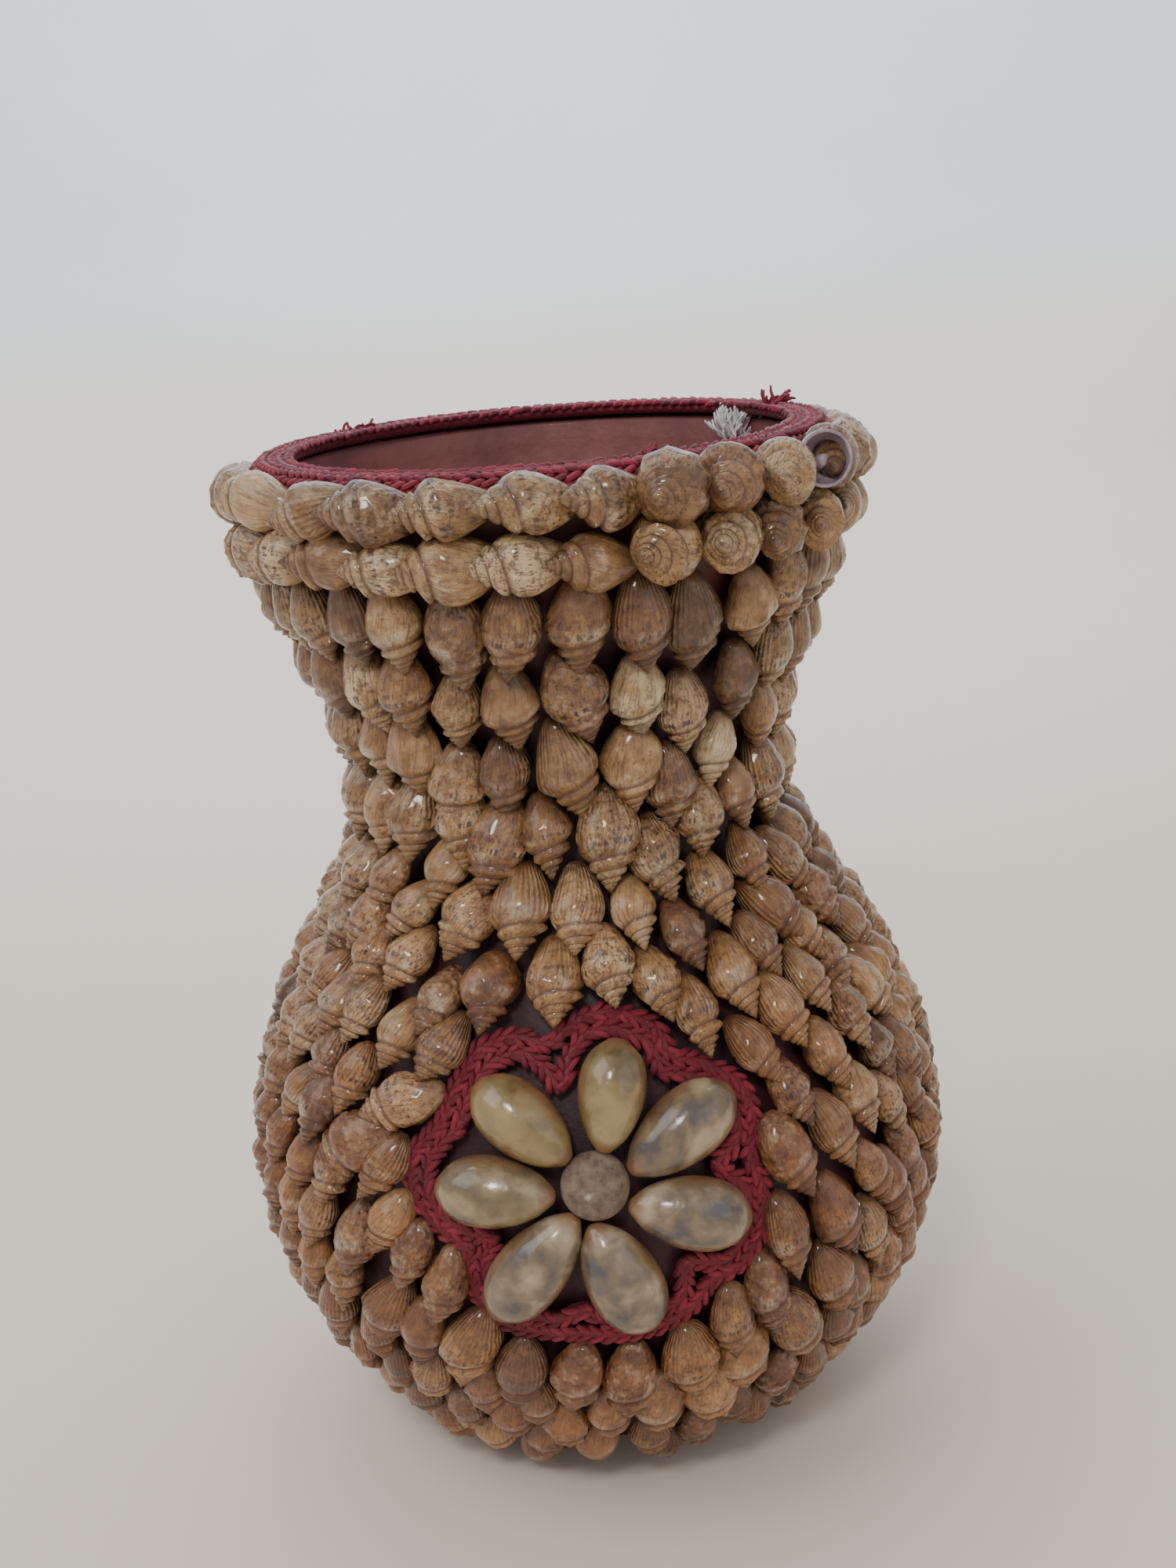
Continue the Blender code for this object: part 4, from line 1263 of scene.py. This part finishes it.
# radius and height of each chain, and how far it leans outwards from facing up
RIM_CHAINS = ((0.0503, RIM_BRAID_TOP, 0.15), (0.0536, RIM_BRAID_TOP, 0.0), (0.0561, RIM_BRAID_TOP - 0.0018, 1.1))
rng = random.Random(310)
bm = new_braid_mesh()
for radius, height, tilt in RIM_CHAINS:
    count = round(math.tau * radius / STITCH_LENGTH)
    angles = [math.tau * i / count for i in range(count)]
    points = [round_vase(angle, radius, height) for angle in angles]
    outs = [round_vase(angle, math.sin(tilt), math.cos(tilt)) for angle in angles]
    sides = [round_vase(angle, math.cos(tilt), -math.sin(tilt)) for angle in angles]
    chain_stitches(bm, points, sides, outs, RIM_STITCH_WIDTH, RIM_STRAND, rng)
bmesh.ops.recalc_face_normals(bm, faces=bm.faces)
finish_piece("rim_braid_stitches", bm, yarn, ["rim_braid"])

# %% [markdown]
# ## Wear at the rim
# The real rim has seen some use: the braid's end is frayed on the right, loose fibres stand
# up here and there, a shell of the upper row is broken open down to its inner column, and a
# tuft of white stuffing clings inside. These small things are thin strands and a cut sphere.

# %% Frayed fibres and white tuft
# azimuth in degrees, radius, number of fibres and their length
FRAYS = ((24.0, 0.0515, 7, 0.0040), (112.0, 0.0530, 18, 0.0042),
         (-135.0, 0.0530, 6, 0.0032), (-130.0, 0.0540, 5, 0.0030))
FRAY_SPREAD, FRAY_THICKNESS, FRAY_LIFT = 0.8, 0.0007, 0.0004
TUFT_AZIMUTH = math.radians(124)
TUFT_FIBRES, TUFT_LENGTH, TUFT_SPREAD, TUFT_THICKNESS = 150, 0.0070, 0.22, 0.0006
TUFT_BELOW_LIP, TUFT_OFF_WALL = 0.0040, 0.0012
ROOT_SCATTER = 0.0012
FIBRE_ARCH = 0.0006


def add_fibres(bm, root, count, length, spread, thickness, rng):
    """A little bunch of fibres that stands up from one place."""
    for _ in range(count):
        way = Vector((rng.gauss(0, spread), rng.gauss(0, spread), rng.uniform(0.3, 1.0))).normalized()
        start = root + Vector((rng.gauss(0, 1), rng.gauss(0, 1), 0)) * ROOT_SCATTER
        end = start + way * length * rng.uniform(0.6, 1.1)
        arched = way.cross(Vector((0.3, 1, 0.2))).normalized()
        add_strand(bm, start, end, arched, thickness, rng.uniform(0.3, 1.0), FIBRE_ARCH)


rng = random.Random(320)
bm = new_braid_mesh()
for azimuth, radius, count, length in FRAYS:
    root = round_vase(math.radians(azimuth), radius, RIM_BRAID_TOP + FRAY_LIFT)
    add_fibres(bm, root, count, length, FRAY_SPREAD, FRAY_THICKNESS, rng)
bmesh.ops.recalc_face_normals(bm, faces=bm.faces)
finish_piece("braid_frays", bm, yarn)

tuft_finish, tree, shader = new_material("white_stuffing")
place = object_place(tree)
tuft_colour = ramp(tree, noise_at(tree, place, 500.0), [(0.3, colour(200, 196, 194)), (0.7, colour(236, 236, 236))])
surface(tree, shader, tuft_colour, 0.9, noise_at(tree, place, 1500.0), 0.0003, Sheen_Weight=0.3)
bm = new_braid_mesh()
height = LIP_HEIGHT - TUFT_BELOW_LIP
root = round_vase(TUFT_AZIMUTH, wall_radius(height) - WALL - TUFT_OFF_WALL, height)
add_fibres(bm, root, TUFT_FIBRES, TUFT_LENGTH, TUFT_SPREAD, TUFT_THICKNESS, rng)
bmesh.ops.recalc_face_normals(bm, faces=bm.faces)
finish_piece("white_tuft", bm, tuft_finish)

# %% Broken shell at the rim
BROKEN_AZIMUTH = math.radians(54)
BROKEN_HEIGHT = LIP_HEIGHT - 0.0022
BROKEN_STAND, BROKEN_FORWARD = 0.0062, 0.0045
BROKEN_RADIUS, BROKEN_WALL = 0.0052, 0.0006
BREAK_HEIGHT, BREAK_SLANT = 0.0004, 0.25
COLUMN_FOOT, COLUMN_TOP, COLUMN_LENGTH, COLUMN_DROP = 0.0016, 0.0010, 0.0042, 0.0026

broken_finish, tree, shader = new_material("broken_shell_lining")
place = object_place(tree)
lilac = ramp(tree, noise_at(tree, place, 300.0, 4.0), [(0.3, colour(128, 108, 122)), (0.7, colour(176, 158, 166))])
surface(tree, shader, lilac, 0.35, noise_at(tree, place, 700.0), 0.0002, Coat_Weight=0.4)
bm = bmesh.new()
bmesh.ops.create_uvsphere(bm, u_segments=24, v_segments=16, radius=BROKEN_RADIUS)
bmesh.ops.bisect_plane(bm, geom=bm.verts[:] + bm.edges[:] + bm.faces[:], dist=0.00001, plane_co=(0, 0, BREAK_HEIGHT),
                       plane_no=Vector((0, BREAK_SLANT, 1)).normalized(), clear_outer=True)
bmesh.ops.solidify(bm, geom=bm.faces[:], thickness=BROKEN_WALL)
column = bmesh.ops.create_cone(bm, cap_ends=True, segments=14, radius1=COLUMN_FOOT, radius2=COLUMN_TOP,
                               depth=COLUMN_LENGTH)["verts"]
bmesh.ops.translate(bm, verts=column, vec=(0, 0, -COLUMN_DROP))
facing = Vector((0.25, -1, 0.35)).normalized()
side_way = facing.cross(Vector((0, 0, 1))).normalized()
turn = Matrix((side_way, facing.cross(side_way), facing)).transposed().to_4x4()
seat = round_vase(BROKEN_AZIMUTH, wall_radius(LIP_HEIGHT) + BROKEN_STAND, BROKEN_HEIGHT) + BROKEN_FORWARD * facing
bmesh.ops.transform(bm, matrix=Matrix.Translation(seat) @ turn, verts=bm.verts)
bmesh.ops.recalc_face_normals(bm, faces=bm.faces)
finish_piece("broken_shell", bm, broken_finish)

# %% [markdown]
# ## Floor, light and camera
# A pale floor sweeps up into a backdrop. Daylight in the photograph comes from a window
# up to the left, so one broad soft light stands there, with a weaker, warmer one for the
# room on the right. A third lights the backdrop alone, and a small lamp above the camera
# gives the sharp glints on the varnish.

# %% Stage
stage_finish, tree, shader = new_material("pale_stage")
place = object_place(tree)
stage_height = add(tree, "SeparateXYZ", Vector=place).outputs["Z"]
wall_colour = ramp(tree, noise_at(tree, place, 3.0), [(0.3, colour(232, 240, 247)), (0.7, colour(238, 245, 251))])
stage_colour = mix(tree, band(tree, stage_height, 0.0, 0.3), colour(238, 224, 208), wall_colour)
surface(tree, shader, stage_colour, 0.7, noise_at(tree, place, 40.0), 0.0002)
SWEEP = ((-1.6, 0.0), (0.9, 0.0), (1.15, 0.03), (1.35, 0.12), (1.48, 0.28), (1.53, 0.5), (1.54, 2.2))
HALF_SWEEP = 2.6
bm = bmesh.new()
line = [bm.verts.new((-HALF_SWEEP, y, z)) for y, z in SWEEP]
line_edges = [bm.edges.new(pair) for pair in zip(line, line[1:])]
swept = bmesh.ops.extrude_edge_only(bm, edges=line_edges)["geom"]
far_side = [item for item in swept if isinstance(item, bmesh.types.BMVert)]
bmesh.ops.translate(bm, verts=far_side, vec=(2 * HALF_SWEEP, 0, 0))
bmesh.ops.recalc_face_normals(bm, faces=bm.faces)
mesh = bpy.data.meshes.new("pale_sweep")
bm.to_mesh(mesh)
bm.free()
mesh.shade_smooth()
mesh.materials.append(stage_finish)
sweep = bpy.data.objects.new("pale_sweep", mesh)
bpy.context.scene.collection.objects.link(sweep)

# %% Lights
# name, place, the point it looks at, size in metres, power in watts and tint
LIGHTS = (
    ("window", (-0.9, -0.35, 1.15), (0, 0, 0.12), 1.0, 6.3, (1.0, 0.99, 1.0)),
    ("room", (1.0, -0.9, 0.7), (0, 0, 0.10), 1.2, 2.9, (1.0, 0.95, 0.90)),
    ("backdrop", (0, 0.55, 1.5), (0, 1.54, 0.9), 1.2, 26.0, (0.90, 0.96, 1.0)),
    ("lamp", (-0.15, -0.75, 0.85), (0, 0, 0.10), 0.16, 3.0, (1.0, 0.98, 0.95)),
)
ROOM_TINT, ROOM_STRENGTH = (0.97, 0.97, 1.0, 1.0), 0.50

for name, stands_at, looks_at, size, power, tint in LIGHTS:
    data = bpy.data.lights.new(name, "AREA")
    data.size = size
    data.energy = power
    data.color = tint
    light = bpy.data.objects.new(name, data)
    light.location = stands_at
    light.rotation_euler = (Vector(looks_at) - Vector(stands_at)).to_track_quat("-Z", "Y").to_euler()
    bpy.context.scene.collection.objects.link(light)

world = bpy.data.worlds.new("soft_room")
world.use_nodes = True
background = world.node_tree.nodes["Background"]
background.inputs["Color"].default_value = ROOM_TINT
background.inputs["Strength"].default_value = ROOM_STRENGTH
bpy.context.scene.world = world

# %% Camera
CAMERA_PLACE = Vector((0.0038, -0.3742, 0.2508))
CAMERA_PITCH = math.radians(16.98)
CAMERA_ROLL = math.radians(-4.64)
CAMERA_LENS = 43.2

camera_data = bpy.data.cameras.new("camera")
camera_data.lens = CAMERA_LENS
camera_data.sensor_width = 36.0
camera = bpy.data.objects.new("camera", camera_data)
bpy.context.scene.collection.objects.link(camera)
ahead = Vector((0, math.cos(CAMERA_PITCH), -math.sin(CAMERA_PITCH)))
above = Vector((0, math.sin(CAMERA_PITCH), math.cos(CAMERA_PITCH)))
right = Vector((1, 0, 0))
camera_right = right * math.cos(CAMERA_ROLL) + above * math.sin(CAMERA_ROLL)
camera_up = -right * math.sin(CAMERA_ROLL) + above * math.cos(CAMERA_ROLL)
camera_turn = Matrix((camera_right, camera_up, -ahead)).transposed().to_4x4()
camera.matrix_world = Matrix.Translation(CAMERA_PLACE) @ camera_turn
bpy.context.scene.camera = camera

# %% [markdown]
# ## Last checks
# The triangles are counted. Loose fibres, shells of the upper rim row, the broken shell and
# the braid's own stitches stand above the box of the solids, the fibres the most, by about 3 mm.

# %% Count the triangles
print("triangles in all:", sum(TRIANGLES.values()), "largest piece:", max(TRIANGLES.values()))
bpy.context.view_layer.update()
